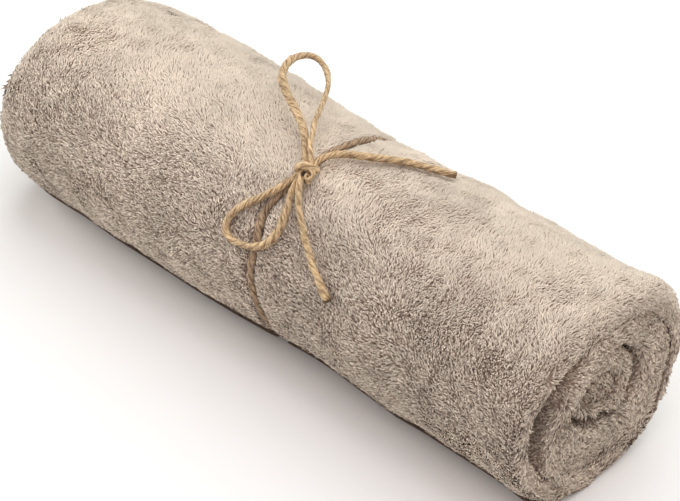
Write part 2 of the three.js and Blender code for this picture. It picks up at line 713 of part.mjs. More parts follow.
function solidOf(geometry) {
  const mesh = new wasm.Mesh({
    numProp: 3,
    vertProperties: new Float32Array(geometry.attributes.position.array),
    triVerts: new Uint32Array(geometry.index.array),
  });
  return new wasm.Manifold(mesh);
}

function geometryOf(solid) {
  const mesh = solid.getMesh();
  const geometry = new THREE.BufferGeometry();
  geometry.setAttribute('position', new THREE.BufferAttribute(new Float32Array(mesh.vertProperties), 3));
  geometry.setIndex(new THREE.BufferAttribute(new Uint32Array(mesh.triVerts), 1));
  return geometry;
}

const routes = {
  bow_loop_top: routeOf(TOP_LOOP),
  bow_loop_left: routeOf(LEFT_LOOP),
  tail_right: routeOf(TAIL_RIGHT),
  tail_down: routeOf(TAIL_DOWN),
  twine_band: bandRoute(),
};

// The knot: the wrap, and the stretches that it keeps of every strand
function knotGeometry() {
  let knot = solidOf(strandGeometry(wrapRoute()));
  for (const [name, kept] of Object.entries(KEPT_BY_KNOT)) {
    const route = routes[name];
    const length = route.getLength();
    knot = knot.add(solidOf(strandGeometry(stretchOf(route, 0, kept.start - SEAM_GAP))));
    if (kept.end > 0) {
      const end = stretchOf(route, length - kept.end + SEAM_GAP, length);
      knot = knot.add(solidOf(strandGeometry(end)));
    }
  }
  return geometryOf(knot);
}

function named(name, geometry, finish) {
  const mesh = new THREE.Mesh(geometry, new THREE.MeshStandardMaterial(finish));
  mesh.name = name;
  return mesh;
}

const towel = new THREE.Group();
towel.add(named('towel_roll', rollGeometry(), TERRY));
for (const [name, kept] of Object.entries(KEPT_BY_KNOT)) {
  const free = stretchOf(routes[name], kept.start, routes[name].getLength() - kept.end);
  towel.add(named(name, strandGeometry(free), JUTE));
}
towel.add(named('twine_knot', knotGeometry(), JUTE));

export default towel;
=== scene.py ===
# %% [markdown]
# A bath towel, rolled up and tied with twine
#
# The towel is terry cloth: a plain woven ground with thousands of small cotton loops standing on
# both faces. It was folded in four, rolled up and tied round the middle with a soft jute twine in a
# shoelace bow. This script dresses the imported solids: it looks at them from the place of the
# photograph, lays the twine, builds the cloth of the roll and covers it with its loops.

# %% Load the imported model
import math

import bpy
import numpy as np
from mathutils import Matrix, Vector


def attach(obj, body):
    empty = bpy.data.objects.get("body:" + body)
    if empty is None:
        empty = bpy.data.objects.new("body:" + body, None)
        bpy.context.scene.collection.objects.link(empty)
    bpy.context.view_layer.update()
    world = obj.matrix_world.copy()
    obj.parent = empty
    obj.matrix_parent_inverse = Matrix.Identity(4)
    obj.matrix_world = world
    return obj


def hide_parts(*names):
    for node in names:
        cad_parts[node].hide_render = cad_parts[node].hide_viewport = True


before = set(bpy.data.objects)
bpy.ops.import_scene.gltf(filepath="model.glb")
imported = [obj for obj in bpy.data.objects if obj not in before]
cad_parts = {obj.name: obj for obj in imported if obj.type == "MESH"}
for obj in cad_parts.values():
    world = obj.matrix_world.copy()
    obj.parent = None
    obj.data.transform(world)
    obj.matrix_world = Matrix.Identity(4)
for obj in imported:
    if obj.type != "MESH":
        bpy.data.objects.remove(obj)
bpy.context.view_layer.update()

print("Nodes:", sorted(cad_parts))

# %% [markdown]
# The camera
#
# The towel was photographed with a long lens from above the front, so its sides hardly draw
# together. The angle, distance and lens were found by matching the outline of the roll and the
# place of its bow. A camera looks down its own -Z, so it is turned to look along the line from its
# place to the target.

# %% Camera
CAMERA_AZIMUTH = 43
CAMERA_ELEVATION = 40
CAMERA_DISTANCE = 1.3
CAMERA_TARGET = Vector((0.01295, 0, 0.04083))
CAMERA_LENS = 148.5
SENSOR_WIDTH = 36
NEAREST_SEEN = 0.01


def direction_towards(azimuth, elevation):
    """The direction from the object to a viewer or a lamp."""
    turn, rise = math.radians(azimuth), math.radians(elevation)
    return Vector((math.sin(turn) * math.cos(rise), -math.cos(turn) * math.cos(rise), math.sin(rise)))


def aim(thing, place, target):
    """Put a camera or a lamp at a place and point it at the target."""
    thing.location = place
    thing.rotation_euler = (target - place).to_track_quat("-Z", "Y").to_euler()


camera = bpy.data.objects.new("camera", bpy.data.cameras.new("camera"))
bpy.context.collection.objects.link(camera)
camera.data.lens = CAMERA_LENS
camera.data.sensor_width = SENSOR_WIDTH
camera.data.clip_start = NEAREST_SEEN
towards_camera = direction_towards(CAMERA_AZIMUTH, CAMERA_ELEVATION)
aim(camera, CAMERA_TARGET + towards_camera * CAMERA_DISTANCE, CAMERA_TARGET)
bpy.context.scene.camera = camera
print("Camera at", [round(v, 3) for v in camera.location])

# %% [markdown]
# Sizes of the roll
#
# A bath towel folded in half both ways and rolled up makes a roll about 350 mm long and 112 mm
# across. All sizes are in millimetres here, and are turned into metres only when a mesh is made.
# The roll settles a little under its own weight, so its round underside rests on a flat strip.

# %% Sizes of the roll
MM = 0.001
ROLL_LENGTH = 350
ROLL_WIDTH = 112
ROLL_HEIGHT = 101.6
SETTLED = 1.8                # how much of the round underside has settled flat
LOOSE_END_CLOCK = -134       # where the towel's free edge lies, low on the front
TURN = 60                    # columns of points in one turn
WOUND_TOTAL = 1530           # degrees from the free edge to the middle of the core
HALF_LENGTH = ROLL_LENGTH / 2
HALF_WIDTH = ROLL_WIDTH / 2
HALF_HEIGHT = ROLL_HEIGHT / 2
CENTRE_HEIGHT = HALF_HEIGHT - SETTLED
print("Roll of", ROLL_LENGTH, "by", ROLL_WIDTH, "mm, its middle", CENTRE_HEIGHT, "mm up")

# %% [markdown]
# The winding
#
# A rolled towel is no clean spiral: each turn sags, bulges and leaves creases of its own. It could
# be simulated, but then it would hardly come to lie as this one does. So the winding is told by
# short tables, the same ones that the solids were made from. They count the degrees wound from the
# free edge inwards, and are read along a smooth line through their rows, so that a few rows are
# enough for a soft shape.

# %% Tables of the winding
def table(names, rows):
    """A table of numbers as named columns."""
    return dict(zip(names, np.array(rows, dtype=float).T))


# How deep the outside of the cloth lies below the roll's oval, from the free edge inwards
WINDING = table(("wound", "inset"), [
    (0, -0.5), (40, 0), (300, 0), (318, 0.3), (332, 0.9), (344, 2.4), (352, 4.6), (360, 7.6),
    (378, 9.4), (390, 9), (416, 8.2), (436, 10.4), (471, 12.6), (501, 13.6), (526, 12),
    (546, 12.8), (571, 12), (601, 12), (634, 9.8), (656, 10), (676, 11.6), (698, 12.4),
    (721, 14), (749, 17), (774, 20), (799, 23.6), (854, 25.4), (894, 29.6), (949, 34.4),
    (989, 36.8), (1016, 39.4), (1040, 41.4), (1066, 41.8), (1090, 40.2), (1115, 36),
    (1140, 32), (1166, 33.6), (1200, 38.6), (1246, 42.8), (1336, 45), (1426, 46), (1530, 47),
])
# How far the crest of each turn stands back from the end's plane, and the crease beside it
NEAR_END = table(("wound", "back", "crease"), [
    (0, 2.5, 4), (19, 5, 4), (54, 6, 4), (89, 4.2, 4), (149, 2, 4), (209, 0.8, 4), (254, 2.2, 4),
    (296, 3.4, 2), (329, 4, 1), (350, 3, 1.2), (366, 1.6, 1.6), (384, 1, 3.4), (400, 0.6, 8),
    (414, 0.6, 11.5), (430, 0.6, 12.5), (446, 0.6, 9),
    (466, 1.2, 3.4), (506, 2.8, 2), (530, 3, 2.6), (546, 3.2, 2.8), (591, 2, 2.4), (636, 1, 1.5),
    (676, 0.6, 2.5), (716, 0.8, 2.5), (756, 2, 2), (801, 3.8, 1.5), (854, 5.4, 3),
    (884, 6.4, 4.2), (920, 6, 5.2), (951, 5.6, 5.2), (989, 4, 5), (1031, 3.4, 8), (1066, 5, 12),
    (1110, 7, 13), (1140, 8, 9), (1166, 8.6, 4), (1246, 9, 3), (1336, 8, 3), (1426, 8.4, 4),
    (1530, 10, 4),
])
# Above 1 the crest of the turn lies nearer its inner side, so that the crease beside it is wide
CREST_SHIFT = table(("wound", "shift"), [
    (0, 1), (340, 1), (366, 1.5), (400, 2.2), (430, 2), (460, 1.3), (500, 1.4), (560, 1.7),
    (610, 1.2), (640, 1.8), (740, 2.2), (790, 1.3), (830, 1), (1530, 1),
])
FAR_END = table(("wound", "back", "crease"), [
    (0, 4.5, 5), (60, 5.5, 5), (120, 7, 5), (200, 6.4, 5), (260, 4, 5), (320, 3, 5), (420, 3.6, 6),
    (500, 5.2, 5), (580, 4.4, 5), (680, 1, 6), (760, 0.4, 6), (860, 2.2, 6), (960, 1.4, 6),
    (1100, 1.2, 7), (1260, 3, 8), (1440, 6, 7), (1530, 7, 6),
])
print(len(WINDING["wound"]), "rows for", WOUND_TOTAL, "degrees of winding")

# %% [markdown]
# Fullness and hollows
#
# Hands leave a roll fuller in some places than in others. A place on the outside is told by how far
# it is along the roll and by a clock angle round it: 0 at the top, 90 at the back, -90 at the
# front. One table makes the roll fuller or slimmer along its length, and the other presses single
# soft hollows and swellings into it.

# %% Fullness and hollows
# How much the roll is fuller than its plain oval, on its upper back and its lower front
GIRTH = table(("along", "upper", "lower"), [
    (-175, -13, -9.6), (-170, -10.8, -6.8), (-160, -6, -3), (-150, -2.4, -0.8), (-140, 0.7, -0.2),
    (-120, 1.7, -0.4), (-95, 2.3, 0.6), (-70, 1.8, 0.5), (-45, 0.6, 0.8), (-25, -0.9, 0.6),
    (-8, -1.9, 0.1), (10, -2.1, -0.8), (30, -1.1, -1.8), (45, -1.2, -1.6), (60, 0.3, -0.6),
    (72, 0.9, 0.1), (81, -0.3, 1), (95, 0.3, 0.4), (120, 0.7, 0.5), (149, 0.1, 0.9),
    (158, 2.2, 1.9), (168, 2.6, 1.8), (175, 1.4, 1),
])
GIRTH_UPPER_CLOCK = 48
# Soft hollows (negative) and swellings pressed into the outside by hand
UNEVEN = table(("along", "clock", "reach", "spread", "height"), [
    (52, -46, 16, 16, -1.3), (92, -78, 12, 20, -1.8), (66, -14, 18, 16, 0.8), (112, -35, 22, 18, 0.9),
    (-60, -70, 34, 24, 0.9), (-126, -18, 18, 16, 0.7), (-148, 12, 12, 14, -1.6),
    (-20, 70, 40, 22, 0.8), (118, 95, 30, 24, 0.9), (-100, 105, 30, 20, -0.9),
    (176, 42, 12, 16, 1.2), (178, 86, 14, 28, -6), (178, 103, 26, 14, -4.6),
    (176, 120, 22, 18, -6), (174, 162, 14, 14, -1.8),
])
print(len(UNEVEN["along"]), "hollows and swellings")

# %% [markdown]
# Points of the roll
#
# Everything starts from the same plain oval, lifted by the fullness of the place. The cloth, its
# pile and the twine all ask these few functions where the surface is, so they can't drift apart.

# %% Points of the roll
def mix(first, second, share):
    """The value a share of the way from the first to the second."""
    return first + (second - first) * share


def ramp(start, stop, value):
    """A smooth step from 0 to 1."""
    t = np.clip((value - start) / (stop - start), 0, 1)
    return t * t * (3 - 2 * t)


def line_through(keys, values, at):
    """Values at the places asked for, on a smooth line through the given ones."""
    rise, run = np.empty_like(values), np.empty_like(keys)
    rise[1:-1], run[1:-1] = values[2:] - values[:-2], keys[2:] - keys[:-2]
    rise[0], run[0] = values[1] - values[0], keys[1] - keys[0]
    rise[-1], run[-1] = values[-1] - values[-2], keys[-1] - keys[-2]
    slope = rise / run
    at = np.clip(at, keys[0], keys[-1])
    row = np.clip(np.searchsorted(keys, at) - 1, 0, len(keys) - 2)
    span = keys[row + 1] - keys[row]
    t = (at - keys[row]) / span
    t2, t3 = t * t, t * t * t
    return ((2 * t3 - 3 * t2 + 1) * values[row] + (t3 - 2 * t2 + t) * slope[row] * span
            + (3 * t2 - 2 * t3) * values[row + 1] + (t3 - t2) * slope[row + 1] * span)


def read_table(rows, key, column, at):
    """A column of a table at any places between its rows."""
    return line_through(rows[key], rows[column], np.asarray(at, dtype=float))


def roll_point(along, clock, lift):
    """A point of the roll, in millimetres. Lift is measured out from its plain oval."""
    turn = np.radians(clock)
    across, upward = np.sin(turn), np.cos(turn)
    radius = 1 / np.hypot(across / (HALF_WIDTH + lift), upward / (HALF_HEIGHT + lift))
    along = np.broadcast_to(along, np.shape(radius))
    return np.stack([along, radius * across, CENTRE_HEIGHT + radius * upward], axis=-1)


def clock_gap(first, second):
    """How far two clock angles lie apart, the short way round."""
    return np.abs(((first - second + 540) % 360) - 180)


def girth_lift(along, clock):
    """How far the outside stands off the plain oval at a place."""
    upper_share = 0.5 + 0.5 * np.cos(np.radians(clock - GIRTH_UPPER_CLOCK))
    lift = mix(read_table(GIRTH, "along", "lower", along),
               read_table(GIRTH, "along", "upper", along), upper_share)
    for spot_along, spot_clock, reach, spread, height in zip(*UNEVEN.values()):
        far = np.hypot((along - spot_along) / reach, clock_gap(clock, spot_clock) / spread)
        lift = lift + height * np.exp(-far * far)
    return lift


print("Lift of the upper back over the bow:", round(float(girth_lift(10, 48)), 2), "mm")

# %% [markdown]
# The twine's routes
#
# One length of soft jute goes once round the roll and is tied on top in a bow: two loops and two
# tails. Each free strand is a row of points on the roll, with the height of the strand's underside
# over the pile. The strands are laid before anything else, because they have to lie in view and on
# the places of their solids.

# %% Routes of the bow
TWINE_DIAMETER = 3.7
TWINE_RADIUS = TWINE_DIAMETER / 2
ROUTE = ("along", "clock", "over")
TOP_LOOP = table(ROUTE, [
    (12.5, -21.9, 3.2), (9.4, -19.5, 3.8), (6.5, -16.8, 4.2), (4, -13.8, 4.6), (1.5, -10.7, 5.1),
    (-2.5, -7.2, 5.7), (-7.5, -3.6, 6.4), (-12.5, -0.9, 7.2), (-17.7, 1.5, 8), (-23.1, 3.7, 8.8),
    (-28.2, 6.4, 9.6), (-32.4, 9.2, 10.4), (-36, 12.7, 11.3), (-38.8, 17.5, 12.2),
    (-40.3, 22.5, 13), (-40.9, 27.5, 13.5), (-40.7, 32.1, 13.6), (-39, 35.6, 13.2),
    (-34.7, 35.9, 12.6), (-28.1, 32.4, 11.9), (-21.5, 27.1, 11.2), (-15.7, 21, 10.5),
    (-11.1, 14.7, 9.8), (-7.4, 8.8, 9.1), (-4.1, 2.9, 8.6), (-0.8, -2.4, 8.3), (2.7, -6.9, 8),
    (5.3, -11, 7.6), (8, -14.2, 6.9), (10.4, -16.7, 5.8), (12, -19, 4.4), (12.9, -21.6, 3.2),
])
LEFT_LOOP = table(ROUTE, [
    (12.1, -22.8, 3.2), (9.7, -27, 2.4), (7.7, -31.6, 1.8), (5.2, -37.2, 1.5), (1.6, -42.5, 1.2),
    (-2.3, -47.6, 0.9), (-5.7, -51.9, 0.7), (-8.5, -56.4, 0.6), (-9.8, -60.8, 0.6),
    (-9.4, -64.7, 0.6), (-7, -67.5, 0.6), (-2.6, -68.4, 0.7), (3.4, -67.4, 1.1),
    (9.3, -65.3, 1.3), (13.6, -62.3, 0.9), (15.9, -57.8, 0.6), (16.6, -52.8, 0.5),
    (15.8, -46.8, 0.5), (14.3, -41, 0.7), (12.5, -35.8, 1.2), (11.4, -30.8, 1.9), (11.4, -25.1, 3),
])
TAIL_RIGHT = table(ROUTE, [
    (12.5, -20.5, 3.2), (12.8, -16.5, 3.4), (12.8, -12.4, 3), (13.9, -9.3, 2.5), (15.3, -6.2, 2.1),
    (17.5, -3.2, 1.7), (20.9, 0, 1.3), (25.1, 3.1, 0.9), (29.8, 7, 0.6), (34.5, 11, 0.5),
    (39.2, 15.2, 0.45), (44.2, 19, 0.45), (49.7, 21, 0.45), (54.8, 22.6, 0.5), (58.9, 24, 0.5),
    (61.7, 25.6, 0.6),
])
TAIL_DOWN = table(ROUTE, [
    (11.6, -23.8, 3.2), (14, -28.4, 4.5), (16.3, -32, 4.8), (18.7, -35.6, 4.3), (21.3, -39.3, 3.2),
    (24.5, -43.2, 2.1), (28.1, -47, 1.3), (31.5, -50.9, 0.8), (35.4, -54.6, 0.55),
    (39.2, -58.3, 0.45), (43.4, -61.7, 0.45), (47.4, -64.7, 0.45), (51.2, -67.3, 0.5),
    (55, -69.8, 0.6),
])
print("The bow's tails end", TAIL_RIGHT["along"][-1], "and", TAIL_DOWN["along"][-1], "mm along the roll")

# %% [markdown]
# The turn round the roll
#
# The same twine goes once round the roll, pulled tight, so it sinks into the pile and dents the
# roll. Its rows say where it runs and how deep it lies below the face of the pile. Under the roll
# it is pressed against the surface that the towel rests on, and stays just clear of it.

# %% The turn round the roll
BAND_FLOOR_GAP = 0.35
NEARLY_LEVEL = -0.01
# Where the strand runs, and how deep it is sunk below the face of the pile
BAND = table(("clock", "along", "sunk"), [
    (-22, 10.6, -0.9), (-15.9, 9.2, -0.4), (-8.8, 8.9, 0.3), (-1.8, 8.9, 0.6), (5.8, 9.6, 0.7),
    (13.4, 10.5, 0.9), (22.3, 10.8, 1.4), (34, 10.6, 2.2), (46, 10.6, 2.7), (60, 10.8, 2.6),
    (90, 11.6, 2.2), (135, 11.4, 2.2), (180, 11.4, 2.2), (215, 12.4, 2.4), (230, 12.8, 2.6),
    (244, 12.8, 2.3), (256, 12.2, 1.6), (263, 11.2, 1.3), (269.8, 9.4, 1.2), (276, 8, 1.2),
    (283, 7.1, 1.3), (290, 6.5, 1.5), (298, 5.4, 1.5), (304, 4, 1.4), (309, 3.5, 1.3),
    (315, 3.7, 1.2), (321, 5, 1), (328, 6, 0.6), (334, 7.2, -0.3), (338, 9, -0.9),
])


def read_band(column, clock):
    """Where the turn of twine runs along the roll, or how deep it is sunk, at a clock angle."""
    start = BAND["clock"][0]
    return read_table(BAND, "clock", column, start + (clock - start) % 360)


def band_lift(clock):
    """Lift of the middle of the strand round the roll, kept clear of the surface below."""
    along = read_band("along", clock)
    lift = girth_lift(along, clock) - read_band("sunk", clock)
    lowest = TWINE_RADIUS + BAND_FLOOR_GAP
    plain = roll_point(along, clock, np.zeros_like(lift))
    plain_radius = np.hypot(plain[..., 1], plain[..., 2] - CENTRE_HEIGHT)
    downward = np.minimum(NEARLY_LEVEL, np.cos(np.radians(clock)))
    resting = (CENTRE_HEIGHT - lowest) / -downward - plain_radius
    too_low = roll_point(along, clock, lift)[..., 2] < lowest
    return np.where(too_low, resting, lift)


print("At the back the twine is sunk by", round(float(read_band("sunk", 90)), 1), "mm")

# %% [markdown]
# Smooth routes
#
# Twine bends softly and never in corners. Each route is a smooth line through its rows, cut into
# even steps, so that the plies that wind round it later keep an even lay.

# %% Smooth routes
ROUTE_SPACING = 0.4
BAND_POINTS = 91
ALMOST_ROUND = 359.999       # the turn stops just short of where it began


def smooth_route(points, spacing=ROUTE_SPACING):
    """Points at an even spacing on a smooth line through the given ones."""
    gaps = np.linalg.norm(np.diff(points, axis=0), axis=1)
    keys = np.concatenate([[0], np.cumsum(gaps)])
    fine_keys = np.linspace(0, keys[-1], int(keys[-1] / (spacing * 0.5)))
    fine = np.stack([line_through(keys, points[:, i], fine_keys) for i in range(3)], axis=1)
    length = np.concatenate([[0], np.cumsum(np.linalg.norm(np.diff(fine, axis=0), axis=1))])
    even = np.linspace(0, length[-1], int(round(length[-1] / spacing)) + 1)
    return np.stack([np.interp(even, length, fine[:, i]) for i in range(3)], axis=1)


def route_length(points):
    """The length of a line through points."""
    return float(np.linalg.norm(np.diff(points, axis=0), axis=1).sum())


def free_route(rows):
    """The middle of a free strand, from its rows of places and heights over the pile."""
    lift = girth_lift(rows["along"], rows["clock"]) + rows["over"] + TWINE_RADIUS
    return smooth_route(roll_point(rows["along"], rows["clock"], lift))


band_clock = BAND["clock"][0] + np.linspace(0, ALMOST_ROUND, BAND_POINTS)
band_points = roll_point(read_band("along", band_clock), band_clock, band_lift(band_clock))
routes = {
    "bow_loop_top": free_route(TOP_LOOP),
    "bow_loop_left": free_route(LEFT_LOOP),
    "tail_right": free_route(TAIL_RIGHT),
    "tail_down": free_route(TAIL_DOWN),
    "twine_band": smooth_route(band_points),
}
for name, route in routes.items():
    print(f"{name}: {route_length(route):.0f} mm of twine, with what lies in the knot")

# %% [markdown]
# Meshes from arrays
#
# Two hundred thousand loops are far too many to make one by one, so whole pieces are worked out as
# arrays of points and handed to Blender at once. The loops and the twine carry named values on
# their points, which their materials read: how much painted shade a point of a loop or a strand
# gets, or how far along a ply it is.
# Every mesh carries a map that gives each face its own patch of a picture, for a later bake.

# %% Meshes from arrays
BAKE_MAP = "OFBake"


def unit(vectors):
    """The same directions, each of length 1."""
    return vectors / np.maximum(1e-9, np.linalg.norm(vectors, axis=-1, keepdims=True))


def new_mesh(name, points, corners, counts, flat_map, values=None, facing=None):
    """A smooth mesh: points in mm, the corners of all faces in a row, and each face's corner count."""
    mesh = bpy.data.meshes.new(name)
    mesh.vertices.add(len(points))
    mesh.vertices.foreach_set("co", (np.asarray(points, dtype=np.float32) * MM).ravel())
    mesh.loops.add(len(corners))
    mesh.loops.foreach_set("vertex_index", np.asarray(corners, dtype=np.int32))
    starts = np.concatenate([[0], np.cumsum(counts)[:-1]])
    mesh.polygons.add(len(counts))
    mesh.polygons.foreach_set("loop_start", starts.astype(np.int32))
    mesh.polygons.foreach_set("use_smooth", np.ones(len(counts), dtype=bool))
    mesh.update(calc_edges=True)
    for value_name, value in (values or {}).items():
        kind = "FLOAT" if np.ndim(value) == 1 else "FLOAT_VECTOR"
        field = mesh.attributes.new(value_name, kind, "POINT")
        field.data.foreach_set("value" if kind == "FLOAT" else "vector",
                               np.asarray(value, dtype=np.float32).ravel())
    if facing is not None:
        mesh.normals_split_custom_set_from_vertices(unit(facing).reshape(-1, 3).tolist())
    layer = mesh.uv_layers.new(name=BAKE_MAP)
    layer.data.foreach_set("uv", np.asarray(flat_map, dtype=np.float32).ravel())
    return mesh


def add_piece(name, mesh, material, slot, *replaced):
    """Put a mesh in the scene as a piece of the towel that stands for its solids."""
    piece = bpy.data.objects.new(name, mesh)
    bpy.context.collection.objects.link(piece)
    mesh.materials.append(material)
    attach(piece, "root")
    if replaced:
        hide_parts(*replaced)
    print(f"{name}: {len(mesh.vertices)} points, {len(mesh.loops) - 2 * len(mesh.polygons)} triangles")
    return piece


print("Meshes carry a map named", BAKE_MAP)

# %% [markdown]
# Grids and soft chance
#
# Cloth and twine are both skins over rows and columns of points, so two helpers give the faces of
# such a grid and its places on the map. A third gives a cloudy value, made of a few waves of
# chance directions: it makes a strand swell and thin, and the pile lean a little this way and that.

# %% Grids and soft chance
WAVES = 16


def grid_faces(rows, columns):
    """Corners of the quads of a grid of points, numbered row by row."""
    row, column = np.meshgrid(np.arange(rows - 1), np.arange(columns - 1), indexing="ij")
    first = (row * columns + column).ravel()
    return np.stack([first, first + 1, first + columns + 1, first + columns], axis=1)


def grid_map(rows, columns, corner, size):
    """Places on the bake map for the quads of a grid: a rectangle with its lower corner and size."""
    row, column = np.meshgrid(np.arange(rows - 1), np.arange(columns - 1), indexing="ij")
    row, column = row.ravel(), column.ravel()
    places = np.stack([np.stack([column, row], 1), np.stack([column + 1, row], 1),
                       np.stack([column + 1, row + 1], 1), np.stack([column, row + 1], 1)], axis=1)
    return np.asarray(corner) + places / np.array([columns - 1, rows - 1]) * np.asarray(size)


def cloudy(points, size, seed):
    """A smooth random value of unit spread over points in mm, with patches about as wide as size."""
    chance = np.random.default_rng(seed)
    heading = chance.normal(size=(WAVES, 3))
    heading /= np.linalg.norm(heading, axis=1)[:, None]
    wavelength = 2 * size * chance.uniform(0.7, 1.4, WAVES)
    phase = chance.uniform(0, 2 * math.pi, WAVES)
    value = np.zeros(points.shape[:-1])
    for i in range(WAVES):
        value += np.cos(points @ heading[i] * (2 * math.pi / wavelength[i]) + phase[i])
    return value * math.sqrt(2 / WAVES)


print("A grid of 3 by 4 points has", len(grid_faces(3, 4)), "faces")

# %% [markdown]
# Helpers for nodes
#
# A finish is a small tree of nodes. These helpers set one node and its inputs in a single line, so
# that a material below reads from top to bottom like a recipe. An input is either a plain number or
# colour, or the output of another node.

# %% Helpers for nodes
def new_group(name, inputs, outputs):
    """A group of nodes with named inputs and outputs, and its two end nodes."""
    group = bpy.data.node_groups.new(name, "ShaderNodeTree")
    for label, kind, value in inputs:
        socket = group.interface.new_socket(name=label, in_out="INPUT", socket_type=kind)
        if value is not None:
            socket.default_value = value
    for label, kind in outputs:
        group.interface.new_socket(name=label, in_out="OUTPUT", socket_type=kind)
    return group, group.nodes.new("NodeGroupInput"), group.nodes.new("NodeGroupOutput")


def math_node(tree, kind, first, second, third=None, clamp=False):
    """A math node: each input is a socket or a plain number."""
    node = tree.nodes.new("ShaderNodeMath")
    node.operation = kind
    node.use_clamp = clamp
    for socket, value in zip(node.inputs, (first, second, third)):
        if value is None:
            continue
        if isinstance(value, (int, float)):
            socket.default_value = value
        else:
            tree.links.new(value, socket)
    return node.outputs[0]


def noise_node(tree, vector, scale, detail=3, roughness=0.5):
    """A cloudy pattern over a place, as a value from 0 to 1."""
    node = tree.nodes.new("ShaderNodeTexNoise")
    node.inputs["Detail"].default_value = detail
    node.inputs["Roughness"].default_value = roughness
    tree.links.new(vector, node.inputs["Vector"])
    tree.links.new(scale, node.inputs["Scale"])
    return node.outputs["Fac"]


def colour_mix(tree, kind, share, first, second):
    """Two colours mixed, or multiplied with each other."""
    node = tree.nodes.new("ShaderNodeMix")
    node.data_type = "RGBA"
    node.blend_type = kind
    for label, value in (("Factor", share), ("A", first), ("B", second)):
        socket = node.inputs[label]
        if isinstance(value, (int, float, tuple)):
            socket.default_value = value
        else:
            tree.links.new(value, socket)
    return node.outputs["Result"]


def grey_colour(tree, level):
    """A colour with the same level in its red, green and blue."""
    node = tree.nodes.new("ShaderNodeCombineColor")
    for channel in ("Red", "Green", "Blue"):
        tree.links.new(level, node.inputs[channel])
    return node.outputs["Color"]


print("Helpers for nodes are ready in Blender", bpy.app.version_string)

# %% [markdown]
# Shared effects
#
# Cotton and jute are both spun from short fibres, so both materials use one group for the fine
# streaks of the fibres and one for the cloudy unevenness of a natural colour. The groups put out
# only colours and heights. The shader that turns them into a finish stays in each material.

# %% Shared effects
FINER_PATCHES = 5.3          # how much smaller the second size of patches is
STREAK_IN_HEIGHT = 0.75      # the rest of the height is short tufts


def make_uneven_colour():
    """Cloudy unevenness: Colour is made lighter and darker in patches of two sizes."""
    group, given, result = new_group("uneven colour", [
        ("Vector", "NodeSocketVector", None),
        ("Colour", "NodeSocketColor", (0.5, 0.5, 0.5, 1)),
        ("Patch Scale", "NodeSocketFloat", 60.0),
        ("Amount", "NodeSocketFloat", 0.1),
    ], [("Colour", "NodeSocketColor")])
    wide = noise_node(group, given.outputs["Vector"], given.outputs["Patch Scale"], detail=1)
    finer_scale = math_node(group, "MULTIPLY", given.outputs["Patch Scale"], FINER_PATCHES)
    fine = noise_node(group, given.outputs["Vector"], finer_scale, detail=1)
    both = math_node(group, "SUBTRACT", math_node(group, "ADD", wide, fine), 1.0)
    swing = math_node(group, "MULTIPLY", both, math_node(group, "MULTIPLY", given.outputs["Amount"], 2.0))
    level = math_node(group, "ADD", swing, 1.0)
    shaded = colour_mix(group, "MULTIPLY", 1.0, given.outputs["Colour"], grey_colour(group, level))
    group.links.new(shaded, result.inputs["Colour"])
    return group


def make_spun_fibres():
    """Streaks of spun fibres: Run is a place on the yarn, with its length along X."""
    group, given, result = new_group("spun fibres", [
        ("Run", "NodeSocketVector", None),
        ("Fineness", "NodeSocketFloat", 900.0),
        ("Stretch", "NodeSocketFloat", 0.15),
    ], [("Streak", "NodeSocketFloat"), ("Height", "NodeSocketFloat")])
    parts = group.nodes.new("ShaderNodeSeparateXYZ")
    group.links.new(given.outputs["Run"], parts.inputs["Vector"])
    drawn = math_node(group, "MULTIPLY", parts.outputs["X"], given.outputs["Stretch"])
    joined = group.nodes.new("ShaderNodeCombineXYZ")
    group.links.new(drawn, joined.inputs["X"])
    group.links.new(parts.outputs["Y"], joined.inputs["Y"])
    group.links.new(parts.outputs["Z"], joined.inputs["Z"])
    streak = noise_node(group, joined.outputs["Vector"], given.outputs["Fineness"], detail=2, roughness=0.6)
    group.links.new(streak, result.inputs["Streak"])
    tuft = noise_node(group, given.outputs["Run"], given.outputs["Fineness"], detail=1)
    streak_part = math_node(group, "MULTIPLY", streak, STREAK_IN_HEIGHT)
    tuft_part = math_node(group, "MULTIPLY", tuft, 1 - STREAK_IN_HEIGHT)
    group.links.new(math_node(group, "ADD", streak_part, tuft_part), result.inputs["Height"])
    return group


uneven_colour = make_uneven_colour()
spun_fibres = make_spun_fibres()
print("Shared effects:", uneven_colour.name, "and", spun_fibres.name)

# %% [markdown]
# Helpers for materials
#
# Every finish here is one Principled shader, the usual all-round shader, with a few inputs set and
# colours or bump led into it. The helpers start such a material, place a shared effect in it, and
# read the values that a mesh carries on its points.

# %% Helpers for materials
SHEEN_ROUGHNESS = 0.5


def new_material(name, roughness, specular, sheen=0.0):
    """A material with one all-round shader, and that shader."""
    material = bpy.data.materials.new(name)
    material.use_nodes = True
    shader = material.node_tree.nodes["Principled BSDF"]
    shader.inputs["Roughness"].default_value = roughness
    shader.inputs["Specular IOR Level"].default_value = specular
    shader.inputs["Sheen Weight"].default_value = sheen
    shader.inputs["Sheen Roughness"].default_value = SHEEN_ROUGHNESS
    return material, material.node_tree, shader


def group_node(tree, group, links=(), values=()):
    """Place a shared effect in a material, with its own values."""
    node = tree.nodes.new("ShaderNodeGroup")
    node.node_tree = group
    for label, socket in links:
        tree.links.new(socket, node.inputs[label])
    for label, value in values:
        node.inputs[label].default_value = value
    return node


def read_value(tree, name):
    """A node that reads a value which the mesh carries on its points."""
    node = tree.nodes.new("ShaderNodeAttribute")
    node.attribute_name = name
    return node


def object_place(tree):
    """The place on the object, in metres."""
    return tree.nodes.new("ShaderNodeTexCoord").outputs["Object"]


